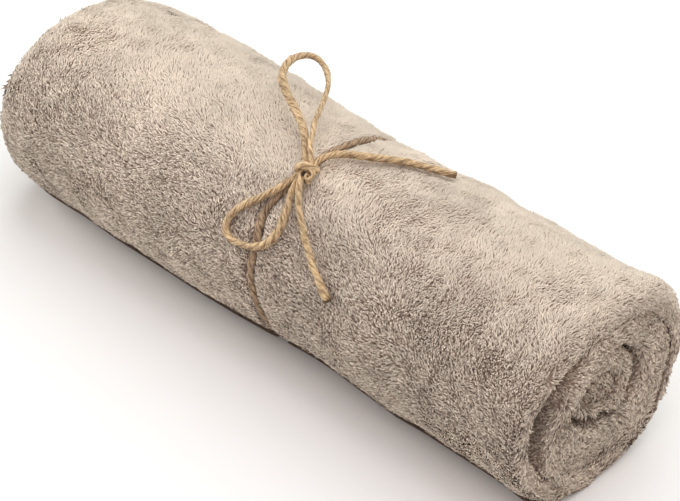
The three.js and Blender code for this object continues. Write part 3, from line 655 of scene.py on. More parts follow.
def add_bump(tree, shader, height, strength, distance):
    """Fine relief that is only shaded, with its full height in metres."""
    bump = tree.nodes.new("ShaderNodeBump")
    bump.inputs["Strength"].default_value = strength
    bump.inputs["Distance"].default_value = distance
    tree.links.new(height, bump.inputs["Height"])
    tree.links.new(bump.outputs["Normal"], shader.inputs["Normal"])


print("Effects that a material can place:", [group.name for group in bpy.data.node_groups])

# %% [markdown]
# The materials of the towel
#
# Cotton terry is matt and a little downy: very rough, with a touch of sheen. Light reaches the tips
# of the loops and is lost between them, so shade is painted into their colour: it goes from a dark
# root to a pale tip, by a value that each loop carries on its points. The ground cloth below is the
# same cotton, painted darker for the shade that lies between the loops.

# %% Terry materials
TERRY_TIP = (0.715, 0.620, 0.515, 1)
# The dark root colour is painted shade: the loops are one cotton, darker only where light is lost
TERRY_ROOT_SHADE = (0.240, 0.170, 0.128, 1)
# The ground cloth is the same cotton, painted darker for the shade between the loops
TERRY_GROUND_SHADE = (0.400, 0.295, 0.230, 1)
TERRY_ROUGH = 0.95
REACH_GAIN = 1.5             # how fast the colour turns pale towards the tip of a loop
REACH_START = -0.05


def make_terry_loops():
    """The finish of the loops, with shade painted from dark roots to pale tips."""
    material, tree, shader = new_material("terry loops", TERRY_ROUGH, specular=0.1, sheen=0.05)
    reach = read_value(tree, "reach").outputs["Fac"]
    tone = read_value(tree, "tone").outputs["Fac"]
    lit = math_node(tree, "MULTIPLY_ADD", reach, REACH_GAIN, REACH_START, clamp=True)
    shade = colour_mix(tree, "MIX", lit, TERRY_ROOT_SHADE, TERRY_TIP)
    toned = colour_mix(tree, "MULTIPLY", 1.0, shade, grey_colour(tree, tone))
    cloud = group_node(tree, uneven_colour, [("Vector", object_place(tree)), ("Colour", toned)],
                       [("Patch Scale", 22.0), ("Amount", 0.12)])
    fibres = group_node(tree, spun_fibres, [("Run", object_place(tree))],
                        [("Fineness", 2600.0), ("Stretch", 0.5)])
    tree.links.new(cloud.outputs["Colour"], shader.inputs["Base Color"])
    add_bump(tree, shader, fibres.outputs["Height"], strength=0.35, distance=0.0002)
    return material


def make_terry_ground():
    """The finish of the plain cloth under the loops, painted darker for the shade there."""
    material, tree, shader = new_material("terry ground cloth", TERRY_ROUGH, specular=0.1, sheen=0.1)
    place = object_place(tree)
    cloud = group_node(tree, uneven_colour, [("Vector", place)],
                       [("Colour", TERRY_GROUND_SHADE), ("Patch Scale", 30.0), ("Amount", 0.15)])
    fibres = group_node(tree, spun_fibres, [("Run", place)], [("Fineness", 1100.0), ("Stretch", 0.6)])
    tree.links.new(cloud.outputs["Colour"], shader.inputs["Base Color"])
    add_bump(tree, shader, fibres.outputs["Height"], strength=0.6, distance=0.0005)
    return material


terry_loops = make_terry_loops()
terry_ground = make_terry_ground()
print("Terry:", terry_loops.name, "over", terry_ground.name)

# %% [markdown]
# The jute
#
# Jute twine is golden tan, with pale fibres and brown streaks, and shade is painted brown into the
# hollows between its plies. The streaks follow the fibres, which run along each ply, so they are
# drawn on values that every ply carries: how far along it a point is, and how far round. The turn
# that lies deep in the pile is in shade and full of lint, so it has a browner copy of the finish,
# with that shade painted in.

# %% Jute materials
JUTE_PALE = (0.690, 0.500, 0.290, 1)
JUTE_BROWN = (0.230, 0.135, 0.062, 1)
# The colour of the deepest painted shade, in the eye of the knot and on cut faces
JUTE_DEEPEST_SHADE = (0.030, 0.017, 0.009, 1)
# A shaded copy of the twine's colours for the turn that lies deep in the pile: painted shade, and lint
JUTE_PALE_SHADED_IN_PILE = (0.470, 0.330, 0.210, 1)
JUTE_BROWN_SHADED_IN_PILE = (0.120, 0.075, 0.045, 1)
JUTE_ROUGH = 0.78
STREAK_GAIN = 5.0
STREAK_START = -1.65
# How much browner the painted shade makes the twine
PAINTED_SHADE_BROWN = 0.6           # how much browner the hollows between the plies are
# Painted shade beyond this goes towards the colour of the deepest shade
DEEP_SHADE = 1.3             # hollows deeper than this go towards the deepest brown


def make_jute(name, pale, brown):
    """The finish of a twine, with fibre streaks and painted shade from brown to the darkest shade."""
    material, tree, shader = new_material(name, JUTE_ROUGH, specular=0.3, sheen=0.15)
    run = read_value(tree, "run").outputs["Vector"]
    painted_shade = read_value(tree, "painted_shade").outputs["Fac"]
    fibres = group_node(tree, spun_fibres, [("Run", run)], [("Fineness", 1.9), ("Stretch", 0.16)])
    streak = math_node(tree, "MULTIPLY_ADD", fibres.outputs["Streak"], STREAK_GAIN, STREAK_START)
    # Painted shade browns the streaks
    shade_browning = math_node(tree, "MULTIPLY", painted_shade, PAINTED_SHADE_BROWN)
    streaks_less_shade = math_node(tree, "SUBTRACT", streak, shade_browning, clamp=True)
    shade = colour_mix(tree, "MIX", streaks_less_shade, brown, pale)
    cloud = group_node(tree, uneven_colour, [("Vector", object_place(tree)), ("Colour", shade)],
                       [("Patch Scale", 110.0), ("Amount", 0.34)])
    # The deepest painted shade goes nearly black
    deep = math_node(tree, "SUBTRACT", painted_shade, DEEP_SHADE, clamp=True)
    sunk = colour_mix(tree, "MIX", deep, cloud.outputs["Colour"], JUTE_DEEPEST_SHADE)
    tree.links.new(sunk, shader.inputs["Base Color"])
    add_bump(tree, shader, fibres.outputs["Height"], strength=0.9, distance=0.0004)
    return material


jute = make_jute("jute twine", JUTE_PALE, JUTE_BROWN)
jute_shaded_in_pile = make_jute("jute twine shaded in the pile", JUTE_PALE_SHADED_IN_PILE, JUTE_BROWN_SHADED_IN_PILE)
print("Jute:", jute.name, "and", jute_shaded_in_pile.name)

# %% [markdown]
# The twine's strands
#
# A jute twine is three loosely spun plies laid round each other. Each ply is a thin tube that
# winds once round the middle of the strand in every lay. Modelled as real plies, the hollows
# between them catch shade from every side, which a bump on a plain tube can't do. One route is
# one long run of plies: the knot keeps a stretch of it, and the free strand goes on from the same
# ring of points, so no seam shows where they meet.

# %% Plies of a strand
TWINE_LAY = 19
PLIES = 3
CORNERS_PER_PLY = 8
RING_SPACING = 0.6
PLY_SHARE = 0.90             # radius of a ply as a share of the strand's
PLY_UNEVEN = 0.07
PLY_LUMP = 2.2
STRAND_UNEVEN = 0.07
STRAND_LUMP = 9
# Painted shade on the underside of every strand, the side that faces away from the light
UNDERSIDE = np.array([0, -0.7, -0.7])    # the side of a strand that lies in shade
UNDERSIDE_SHADE = 0.7
FIBRE_SPIN = 0.06            # how fast the fibres wind back round a ply, in turns per mm
# How thick each strand is along its way, as a share of the twine's diameter
THICKNESS = {
    "bow_loop_top": table(("share", "thick"), [
        (0, 0.8), (0.1, 0.94), (0.2, 1.08), (0.3, 0.98), (0.4, 0.96), (0.5, 0.84), (0.6, 0.76),
        (0.72, 0.64), (0.8, 0.7), (0.9, 0.66), (1, 0.8)]),
    "bow_loop_left": table(("share", "thick"), [
        (0, 0.86), (0.3, 0.9), (0.5, 0.8), (0.6, 0.84), (0.75, 1.08), (0.9, 0.9), (1, 0.82)]),
    "tail_right": table(("share", "thick"), [
        (0, 0.9), (0.3, 0.86), (0.5, 0.94), (0.75, 0.98), (0.9, 0.92), (1, 0.86)]),
    "tail_down": table(("share", "thick"), [
        (0, 0.86), (0.3, 0.8), (0.5, 0.82), (0.75, 0.9), (0.93, 1.0), (1, 1.02)]),
    "twine_band": table(("share", "thick"), [
        (0, 0.95), (0.3, 0.9), (0.7, 0.95), (0.85, 1.0), (1, 0.95)]),
}


def frames_along(points):
    """Directions along a route, and two across it that don't twist."""
    tangent = unit(np.gradient(points, axis=0))
    side = np.empty_like(points)
    start = np.array([0.0, 0.0, 1.0]) if abs(tangent[0][2]) < 0.9 else np.array([1.0, 0.0, 0.0])
    side[0] = unit(start - tangent[0] * (start @ tangent[0]))
    for i in range(1, len(points)):
        carried = side[i - 1] - tangent[i] * (side[i - 1] @ tangent[i])
        side[i] = carried / np.linalg.norm(carried)
    return tangent, side, np.cross(tangent, side)


def twine_rings(route, seed, thickness):
    """Rings of points round a strand of three plies, with their values for the material."""
    points = smooth_route(route, RING_SPACING)
    tangent, side, over = frames_along(points)
    far = np.linspace(0, route_length(points), len(points))
    corner = np.arange(PLIES * CORNERS_PER_PLY + 1) * 360 / (PLIES * CORNERS_PER_PLY)
    from_crown = np.radians(((corner + 60) % 120) - 60)
    orbit = TWINE_RADIUS * (1 - PLY_SHARE)
    ply_radius = TWINE_RADIUS * PLY_SHARE
    outline = orbit * np.cos(from_crown) + np.sqrt(ply_radius ** 2 - (orbit * np.sin(from_crown)) ** 2)
    ply = (((corner + 60) // 120) % PLIES).astype(int)
    place = np.stack([far, far * 0 + seed * 17.0, far * 0], axis=1)
    strand = 1 + STRAND_UNEVEN * cloudy(place, STRAND_LUMP, seed)
    strand = strand * read_table(thickness, "share", "thick", far / far[-1])
    swell = np.stack([PLY_UNEVEN * cloudy(place + np.array([0, 0, 40.0 * k]), PLY_LUMP, seed + 5 + k)
                      for k in range(PLIES)], axis=1)
    radius = outline * (strand[:, None] + swell[:, ply] * np.cos(from_crown * 1.5) ** 2)
    turn = np.radians(corner)[None, :] - (far * 2 * math.pi / TWINE_LAY)[:, None]
    rings = (points[:, None] + side[:, None] * (np.cos(turn) * radius)[..., None]
             + over[:, None] * (np.sin(turn) * radius)[..., None])
    spin = corner[None, :] / 360 * 9 + far[:, None] * FIBRE_SPIN + seed * 3.1
    runs = np.stack([np.broadcast_to(far[:, None], spin.shape), spin,
                     np.broadcast_to(ply * 2.7, spin.shape)], axis=-1)
    # Painted shade in the hollows between the plies
    painted_shades = np.broadcast_to((np.degrees(np.abs(from_crown)) / 60) ** 4, spin.shape)
    # Painted shade on the underside of the strand
    facing_shade = np.clip(unit(rings - points[:, None]) @ UNDERSIDE, 0, 1)
    painted_shades = painted_shades + UNDERSIDE_SHADE * facing_shade ** 2
    return far, rings, runs, painted_shades


print("A ply goes once round the strand in", TWINE_LAY, "mm")

# %% [markdown]
# Cut ends and stretches
#
# Where twine is cut, its plies come loose and flare a little, and the flared stretch and the cut face
# are painted darker with shade. The bow is one length of twine, so a strand is worked out in one go
# and then cut into the stretch that shows as a free strand and the stretches that lie in the knot.

# %% Cut ends and stretches
CUT_FLARE = 2.2              # the last stretch of a tail, where its plies come loose
CUT_WIDER = 0.14
# Painted shade on the flared end of a strand and on its cut face
CUT_SHADE = 0.9
CUT_RINGS = table(("width", "onward"), [(0.8, 0.25), (0.45, 0.3), (0.08, 0.1)])


def cut_end(rings):
    """Close a strand with a cut end: the last rings flare a little, fold in to the middle and are painted
    darker with shade.
    """
    far, points, runs, painted_shades = rings
    middle = points.mean(axis=1, keepdims=True)
    near_cut = ramp(far[-1] - CUT_FLARE, far[-1], far)[:, None, None]
    flared = middle + (points - middle) * (1 + CUT_WIDER * near_cut)
    width, onward = (column[:, None, None] for column in CUT_RINGS.values())
    closing = middle[-1] + (flared[-1] - middle[-1]) * width + unit(middle[-1] - middle[-2]) * onward
    rows = np.concatenate([np.arange(len(far)), np.full(len(width), len(far) - 1)])
    # The cut face is painted in deep shade
    cut_face = np.full((len(width), painted_shades.shape[1]), 1 + CUT_SHADE)
    darker = np.concatenate([painted_shades + CUT_SHADE * near_cut[..., 0], cut_face])
    return far[rows], np.concatenate([flared, closing]), runs[rows], darker


def twine_mesh(name, stretches):
    """One mesh of several stretches of twine."""
    points, corners, runs, painted_shades, places = [], [], [], [], []
    count = 0
    for strip, (far, rings, run, painted_shade) in enumerate(stretches):
        rows, columns = rings.shape[:2]
        points.append(rings.reshape(-1, 3))
        runs.append(run.reshape(-1, 3))
        painted_shades.append(painted_shade.ravel())
        corners.append(grid_faces(rows, columns)[:, ::-1] + count)
        low, high = strip / len(stretches), (strip + 0.9) / len(stretches)
        places.append(grid_map(rows, columns, (low, 0.01), (high - low, 0.98))[:, ::-1])
        count += rows * columns
    corners = np.concatenate(corners)
    return new_mesh(name, np.concatenate(points), corners.ravel(), np.full(len(corners), 4),
                    np.concatenate(places).reshape(-1, 2),
                    {"run": np.concatenate(runs), "painted_shade": np.concatenate(painted_shades)})


def cut_stretch(rings, start, stop):
    """The part of a strand's rings between two distances from its start."""
    far = rings[0]
    first, last = np.searchsorted(far, start), min(len(far), np.searchsorted(far, stop) + 1)
    kept = slice(first, last)
    return tuple(values[kept] for values in rings)


strand_rings = {name: twine_rings(route, seed, THICKNESS[name])
                for seed, (name, route) in enumerate(routes.items())}
print("Strands worked out:", list(strand_rings))

# %% [markdown]
# Laying the strands
#
# Each strand is made and put over its own solid. For the four free strands the middle line that
# they follow is worked out too. The turn round the roll is held by the pile all the way, so it gets
# no such line.

# %% Laying the strands
CORD_SPACING = 1.0
# The stretch of each strand that belongs to the knot, at its start and at its end
KEPT_BY_KNOT = {
    "bow_loop_top": (7, 7),
    "bow_loop_left": (11, 9),
    "tail_right": (7, 0),
    "tail_down": (7, 0),
    "twine_band": (9, 9),
}
knot_stretches = []
for name, rings in strand_rings.items():
    length = route_length(routes[name])
    at_start, at_end = KEPT_BY_KNOT[name]
    free = cut_stretch(rings, at_start, length - at_end)
    if not at_end:
        free = cut_end(free)
    # The turn in the pile gets the shaded copy of the finish
    finish = jute_shaded_in_pile if name == "twine_band" else jute
    piece = add_piece(f"{name}_twine", twine_mesh(f"{name}_twine", [free]), finish, "twine", name)
    knot_stretches.append(cut_stretch(rings, 0, at_start))
    if at_end:
        knot_stretches.append(cut_stretch(rings, length - at_end, length))
    if name == "twine_band":
        continue
    middle = smooth_route(routes[name], CORD_SPACING)

# %% [markdown]
# The knot
#
# A shoelace bow is held by one short wrap of the twine round the strands that come out of it. The
# wrap is an oval coil that climbs over the middle of the knot, and the strands are gathered below
# it. What is left of the wrap is tucked in beside them and shows as a small curl with a dark eye,
# which no light reaches: deep shade is painted on the strands in the eye, and the end tucked below
# the curl is painted dark as well, so that it fills the eye with shade. Places on the knot are told
# by how far right, down and out they lie from its middle, which is easier to follow in a picture
# than the roll's own directions.

# %% Knot
# Where the middle of the knot is: over is the height of a strand there, as in the tables above
KNOT_ALONG = 12.2
KNOT_CLOCK = -22
KNOT_OVER = 4.1
WRAP_TURNS = 1.1
WRAP_POINTS = 40
WRAP_HALF_WIDTH = 3.8
WRAP_HALF_HEIGHT = 2.7
WRAP_CLIMB = 8.5             # how far the wrap climbs towards the top on its way round
WRAP_MIDDLE = 0.35           # the share of the wrap that lies level with the knot's middle
WRAP_START = -130
WRAP_THICKNESS = table(("share", "thick"), [(0, 0.8), (0.3, 1.05), (0.6, 1), (1, 0.75)])
# The small curl where the wrap is tucked in: right and down across the knot, and out from it
CURL = table(("right", "down", "out"), [
    (1.6, 0, 1.6), (3.2, 0.2, 2.1), (4.9, 0.7, 2.1), (6, 1.9, 1.9), (6, 3.5, 1.6),
    (5, 4.6, 1.4), (3.7, 4.5, 1.4), (2.9, 3.5, 1.6), (3.4, 2.5, 1.8),
])
CURL_THICKNESS = table(("share", "thick"), [(0, 0.55), (0.5, 0.48), (1, 0.38)])
# The end that goes down into the pile below the curl, painted dark where it shows in the eye
TUCKED = table(("right", "down", "out"), [
    (0.4, 1.2, 0.2), (1.6, 2.3, -0.3), (2.6, 3.2, -0.8), (3.4, 4, -1.6), (3.9, 4.6, -2.6),
])
TUCKED_THICKNESS = table(("share", "thick"), [(0, 0.8), (1, 0.7)])
# Deep shade is painted on the strands round the eye beside the curl
HOLE = np.array([1.5, 3.1, 0.6])     # the dark eye beside the curl: right, down and out
HOLE_REACH = 1.7
HOLE_SHADE = 3.2


def knot_frame():
    """The middle of the knot, and its directions right, down and out from the roll."""
    lift = girth_lift(KNOT_ALONG, KNOT_CLOCK) + KNOT_OVER + TWINE_RADIUS
    centre = roll_point(KNOT_ALONG, KNOT_CLOCK, lift)
    outward = roll_point(KNOT_ALONG, KNOT_CLOCK, lift + 1) - centre
    right = np.array([1.0, 0, 0])
    return centre, right, np.cross(right, outward), outward


def wrap_route():
    """The middle of the wrap, an oval coil that climbs over the knot."""
    centre, right, down, outward = knot_frame()
    share = np.linspace(0, 1, WRAP_POINTS)
    turn = np.radians(WRAP_START + 360 * WRAP_TURNS * share)
    return smooth_route(centre + right * (WRAP_HALF_WIDTH * np.sin(turn))[:, None]
                        + outward * (WRAP_HALF_HEIGHT * np.cos(turn))[:, None]
                        + down * (WRAP_CLIMB * (WRAP_MIDDLE - share))[:, None])


def route_on_knot(rows):
    """A smooth line through places on the knot."""
    centre, right, down, outward = knot_frame()
    steps = np.stack([rows["right"], rows["down"], rows["out"]], axis=1)
    return smooth_route(centre + steps @ np.stack([right, down, outward]))


def shaded_near_hole(rings):
    """Paint deep shade on the strands in the eye of the knot."""
    centre, right, down, outward = knot_frame()
    hole = centre + HOLE @ np.stack([right, down, outward])
    from_hole = np.linalg.norm(rings[1] - hole, axis=-1) / HOLE_REACH
    return (*rings[:3], rings[3] + HOLE_SHADE * np.exp(-from_hole ** 4))


knot_stretches.append(twine_rings(wrap_route(), 9, WRAP_THICKNESS))
knot_stretches.append(twine_rings(route_on_knot(CURL), 12, CURL_THICKNESS))
knot_stretches.append(twine_rings(route_on_knot(TUCKED), 13, TUCKED_THICKNESS))
# Paint deep shade on all stretches near the eye
knot_stretches = [shaded_near_hole(rings) for rings in knot_stretches]
add_piece("knot_twine", twine_mesh("knot_twine", knot_stretches), jute, "twine", "twine_knot")

# %% [markdown]
# Stray fibres
#
# Jute is a coarse fibre and never lies quite down: short ends stand off the twine all along it.
# Each is a thin tube that leaves the strand at a shallow angle and bends back. None pokes through
# the surface that the towel lies on.

# %% Stray fibres
FIBRE_SPACING = 3.2
FIBRE_RADIUS = 0.1
FIBRE_LENGTH = (2.0, 5.5)
FIBRE_LIFT = (0.15, 0.55)
FIBRE_BEND = 0.25
FIBRE_TAPER = 0.6
FIBRE_FOOT = 0.8             # where a fibre leaves the strand, as a share of the strand's radius
FIBRE_PALER = -0.4
FIBRE_LOWEST = 3 * FIBRE_RADIUS
FIBRE_SIDES = 4
FIBRE_POINTS = 6


def fibre_rings(start, heading, bend, length, seed):
    """A thin bent tube in the same form as a strand of twine."""
    share = np.linspace(0, 1, FIBRE_POINTS)[:, None]
    points = start + heading * length * share + bend * length * share ** 2
    points[:, 2] = np.maximum(points[:, 2], FIBRE_LOWEST)
    _, side, over = frames_along(points)
    turn = np.linspace(0, 2 * math.pi, FIBRE_SIDES + 1)[None, :, None]
    thin = FIBRE_RADIUS * (1 - FIBRE_TAPER * share)[:, None]
    rings = points[:, None] + (side[:, None] * np.cos(turn) + over[:, None] * np.sin(turn)) * thin
    run = np.broadcast_to(np.array([0.0, seed, 0.0]), rings.shape)
    return share[:, 0] * length, rings, run, np.full(rings.shape[:2], FIBRE_PALER)


def stray_fibres(route, seed):
    """The short ends of fibre that stand off one strand."""
    chance = np.random.default_rng(seed)
    tangent, side, over = frames_along(route)
    fibres = []
    for i in range(int(route_length(route) / FIBRE_SPACING)):
        at = chance.integers(2, len(route) - 2)
        turn = chance.uniform(0, 2 * math.pi)
        out = side[at] * math.cos(turn) + over[at] * math.sin(turn)
        forward = tangent[at] * chance.choice([-1, 1])
        heading = unit(forward + out * chance.uniform(*FIBRE_LIFT))
        bend = chance.normal(0, FIBRE_BEND, 3)
        length = chance.uniform(*FIBRE_LENGTH)
        foot = route[at] + out * TWINE_RADIUS * FIBRE_FOOT
        fibres.append(fibre_rings(foot, heading, bend, length, seed + i * 0.7))
    return fibres


all_fibres = [fibre for seed, route in enumerate(routes.values())
              for fibre in stray_fibres(route, 60 + seed)]
add_piece("twine_fibres", twine_mesh("twine_fibres", all_fibres), jute, "twine")
print(len(all_fibres), "stray fibres")

# %% [markdown]
# The cloth of the roll
#
# The towel's surface is one skin over the outside of the roll, round its rims and down into the
# creases between the turns at both ends. It is worked out from the same tables as the solid, with
# many more points. At an end the cloth folds over from turn to turn: each fold has a crest in its
# middle and a crease on either side.

# %% Folds of the ends
RIM_DROP = 9                 # how far the outer turn rounds off at the rim
TUCK_START = 300             # where the outer turn begins to slip under the next one
FAR_DRAW_IN = 7              # how much narrower the far end is drawn in
CORE_FULL_INSET = 50
TURN_STEP = 360 / TURN
FOLD = table(("step", "across", "down"), [
    (0, 0, 1), (1, 0.2, 0.24), (2, 0.5, 0), (3, 0.8, 0.24), (4, 1, 1),
])
RIM = table(("step", "across", "down"), [
    (0, 0.2, 0.26), (1, 0.42, 0.03), (2, 0.64, 0.03), (3, 0.86, 0.34), (4, 1, 1),
])
SWELL = table(("step", "swell"), [(0, 0), (1, 4.2), (2, 5.6), (3, 4), (4, 0)])
ENDS = {
    "near": {"side": 1, "table": NEAR_END, "draw_in": 0, "rim_along": 172},
    "far": {"side": -1, "table": FAR_END, "draw_in": FAR_DRAW_IN, "rim_along": -170},
}


def clock_of(column):
    """The clock angle of a column of points, counted from the free edge inwards."""
    return LOOSE_END_CLOCK + column * TURN_STEP


def turn_inset(column):
    """How deep the outside of the cloth lies below the roll's oval at a column."""
    return read_table(WINDING, "wound", "inset", column * TURN_STEP)


def crest_back(end, column):
    """How far the crest of a fold stands back from the end's plane."""
    return read_table(end["table"], "wound", "back", column * TURN_STEP)


def crease_back(end, column):
    """How far the crease on the outer side of a fold stands back from the end's plane."""
    level = mix(crest_back(end, column), crest_back(end, column - TURN), 0.5)
    return level + read_table(end["table"], "wound", "crease", column * TURN_STEP)


def tucked_share(column):
    """From 0 where the outer turn is free to 1 where another turn lies over it."""
    return ramp(TUCK_START, 360, column * TURN_STEP)


def turn_lift(end, column):
    """Lift of the outside of a turn at an end."""
    inset = turn_inset(column)
    tucked = -inset - end["draw_in"] * (1 - inset / CORE_FULL_INSET)
    outer = mix(girth_lift(end["rim_along"], clock_of(column)) - inset, tucked, tucked_share(column))
    return np.where(column > TURN, tucked, outer)


def end_point(end, column, step):
    """A point of an end: column counts along the winding, step goes across one turn from 0 to 4."""
    tucked = tucked_share(column)
    shifted = 4 * (step / 4) ** read_table(CREST_SHIFT, "wound", "shift", column * TURN_STEP)
    inward = shifted > 2
    crest = crest_back(end, column)
    crease_drop = crease_back(end, np.where(inward, column + TURN, column)) - crest
    rim_drop = np.where(inward, crease_drop, RIM_DROP)
    fold_down = read_table(FOLD, "step", "down", shifted) * crease_drop
    rim_down = read_table(RIM, "step", "down", shifted) * rim_drop
    back = crest + mix(rim_down, fold_down, tucked)
    across = mix(read_table(RIM, "step", "across", step), read_table(FOLD, "step", "across", step), tucked)
    lift = mix(turn_lift(end, column), turn_lift(end, column + TURN), across)
    swell = read_table(SWELL, "step", "swell", step) * np.clip(1 - column, 0, 1)
    return roll_point(end["side"] * (HALF_LENGTH - back), clock_of(column) - swell, lift)


near_crease = crease_back(ENDS["near"], TURN) - crest_back(ENDS["near"], TURN)
print("The crease under the outer turn of the near end starts", round(float(near_crease), 1), "mm deep")

# %% [markdown]
# Rows of the outside
#
# The outside is a grid of points: rows go round the roll, one beside the other along it. They bend
# with the twine in the middle and with the uneven rims at the ends, so that the grid follows what
# shapes the cloth. The twine presses a groove into the pile, and a little more than half of the
# strand stands out of it.

# %% Rows of the outside
GROOVE_FLOOR = 1.2           # how far from the middle of the strand the groove's wall begins
GROOVE_BRIM = 4.4
PILE_BESIDE_TWINE = 0.6      # how far below the middle of the strand the pile beside it comes up
BAND_MEAN_ALONG = 10
NEAR_TWINE, CLEAR_OF_TWINE = 18, 70
NEAR_ROLL_END, FULL_ROLL_END = 90, 150
RIM_REACH = 10
RIM_ROUND = 6.5
ROWS_ALONG = [-166, -160, -150, -136, -118, -98, -78, -60, -44, -30, -17]
ROWS_FROM_TWINE = [-9, -6, -4.4, -3, -1.8, 0, 1.8, 3, 4.4, 6, 9]
ROWS_TO_NEAR_END = [30, 44, 58, 72, 86, 100, 115, 130, 144, 155, 163, 169]


def outside_lift(along, clock, inset):
    """Lift of the outside, with the groove that the twine presses into it."""
    from_twine = np.abs(along - read_band("along", clock))
    pile = girth_lift(along, clock) - inset
    groove = band_lift(clock) - PILE_BESIDE_TWINE - np.maximum(0, inset)
    return mix(groove, pile, ramp(GROOVE_FLOOR, GROOVE_BRIM, from_twine))


def row_points(column, along=None, from_twine=None):
    """One row of points round the outside. Rows bend with the twine and with the ends."""
    clock = clock_of(column)
    twine = read_band("along", clock)
    if from_twine is not None:
        place, cut = twine + from_twine, 0
    else:
        straight = ramp(NEAR_TWINE, CLEAR_OF_TWINE, abs(along - BAND_MEAN_ALONG))
        bend = (twine - BAND_MEAN_ALONG) * (1 - straight)
        end = ENDS["near"] if along > 0 else ENDS["far"]
        end_share = ramp(NEAR_ROLL_END, FULL_ROLL_END, abs(along))
        place = along + bend - end["side"] * crest_back(end, column) * end_share
        past = max(0, along - (HALF_LENGTH - RIM_REACH)) / RIM_REACH
        cut = RIM_ROUND * (1 - math.sqrt(1 - past * past))
    return roll_point(place, clock, outside_lift(place, clock, turn_inset(column)) - cut)


def finer_rows(stations, spacing):
    """Rows at about an even spacing on smooth lines through the rows given."""
    gaps = np.linalg.norm(np.diff(stations, axis=0), axis=-1).mean(axis=1)
    keys = np.concatenate([[0], np.cumsum(gaps)])
    steps = [np.linspace(keys[i], keys[i + 1], max(1, round(gap / spacing)), endpoint=False)
             for i, gap in enumerate(gaps)]
    at = np.concatenate(steps + [[keys[-1]]])
    flat = stations.reshape(len(stations), -1)
    fine = np.stack([line_through(keys, flat[:, i], at) for i in range(flat.shape[1])], axis=1)
    return fine.reshape(len(at), *stations.shape[1:])


def outside_grid(columns, spacing):
    """Points over the outside, from the rim of the far end to the rim of the near end."""
    stations = [end_point(ENDS["far"], columns, np.zeros_like(columns))]
    stations += [row_points(columns, along=a) for a in ROWS_ALONG]
    stations += [row_points(columns, from_twine=d) for d in ROWS_FROM_TWINE]
    stations += [row_points(columns, along=a) for a in ROWS_TO_NEAR_END]
    stations += [end_point(ENDS["near"], columns, np.zeros_like(columns))]
    return finer_rows(np.stack(stations), spacing)


print("Rows laid by hand from end to end:", len(ROWS_ALONG + ROWS_FROM_TWINE + ROWS_TO_NEAR_END) + 2)

# %% [markdown]
# The free edge and the core
#
# Low on the front the cloth starts with a rounded edge, a small step down to the turn below it. In
# the middle of each end the last turn closes on itself, and a soft plug of cloth fills the core.

# %% Free edge and core
CORE_MIDDLE_ACROSS = 1.5
CORE_MIDDLE_UP = -0.5
CORE_PROUD = 3
LAST_COLUMN = WOUND_TOTAL / TURN_STEP
CORE_START = LAST_COLUMN - TURN
FINE_COLUMN = 0.5


def end_grid(end, columns, steps):
    """Points over the folds of an end."""
    column, step = np.meshgrid(columns, steps)
    return end_point(end, column, step)


def free_edge_grid(first_column, last_column, steps):
    """The rounded free edge, between the two sides of the step where the cloth starts."""
    across = read_table(FOLD, "step", "across", steps)[None, :, None]
    between = mix(first_column[:, None], last_column[:, None], across)
    out = np.hypot(between[..., 1], between[..., 2] - CENTRE_HEIGHT)
    turn = np.radians(LOOSE_END_CLOCK - read_table(SWELL, "step", "swell", steps))[None, :]
    edge = np.stack([between[..., 0], out * np.sin(turn), CENTRE_HEIGHT + out * np.cos(turn)], axis=-1)
    edge[0] = end_point(ENDS["far"], np.zeros_like(steps), steps)
    edge[-1] = end_point(ENDS["near"], np.zeros_like(steps), steps)
    return edge


def core_grid(end, rings):
    """The middle of an end, from the innermost turn to the core."""
    round_core = np.arange(CORE_START, LAST_COLUMN + 0.01, FINE_COLUMN)
    outer = end_point(end, round_core, np.zeros_like(round_core))
    steps = np.arange(3.5, 0, -0.5)
    back_out = end_point(end, np.full_like(steps, CORE_START), steps)
    rim = np.concatenate([outer, back_out, outer[:1]])
    along = end["side"] * (HALF_LENGTH - crease_back(end, LAST_COLUMN) + CORE_PROUD)
    middle = np.array([along, CORE_MIDDLE_ACROSS, CENTRE_HEIGHT + CORE_MIDDLE_UP])
    share = np.linspace(0, 1, rings)[:, None, None]
    grid = mix(rim[None], middle, share)
    grid[..., 0] = mix(rim[None, :, 0], middle[0], ramp(0, 0.8, share[..., 0]))
    return grid


print("The core starts", round(CORE_START * TURN_STEP), "degrees from the free edge")

# %% [markdown]
# The whole skin
#
# The parts of the skin are put together here, each with the direction that its surface faces at
# every point. The loops grow along these directions, so they have to point out of the cloth.

# %% The whole skin
OUTSIDE_SPACING = 2.6
FOLD_POINTS = 11
CORE_RINGS = 9


def normals_of(grid, outward):
    """Directions square to a grid's surface, on the side that outward points to."""
    across = np.gradient(grid, axis=0)
    beside = np.gradient(grid, axis=1)
    normal = unit(np.cross(across, beside))
    facing = np.sum(normal * outward, axis=-1).mean()
    return normal if facing > 0 else -normal


def from_axis(grid):
    """Directions straight out from the middle line of the roll."""
    out = grid - np.array([0, 0, CENTRE_HEIGHT])
    out[..., 0] = 0
    return unit(out)


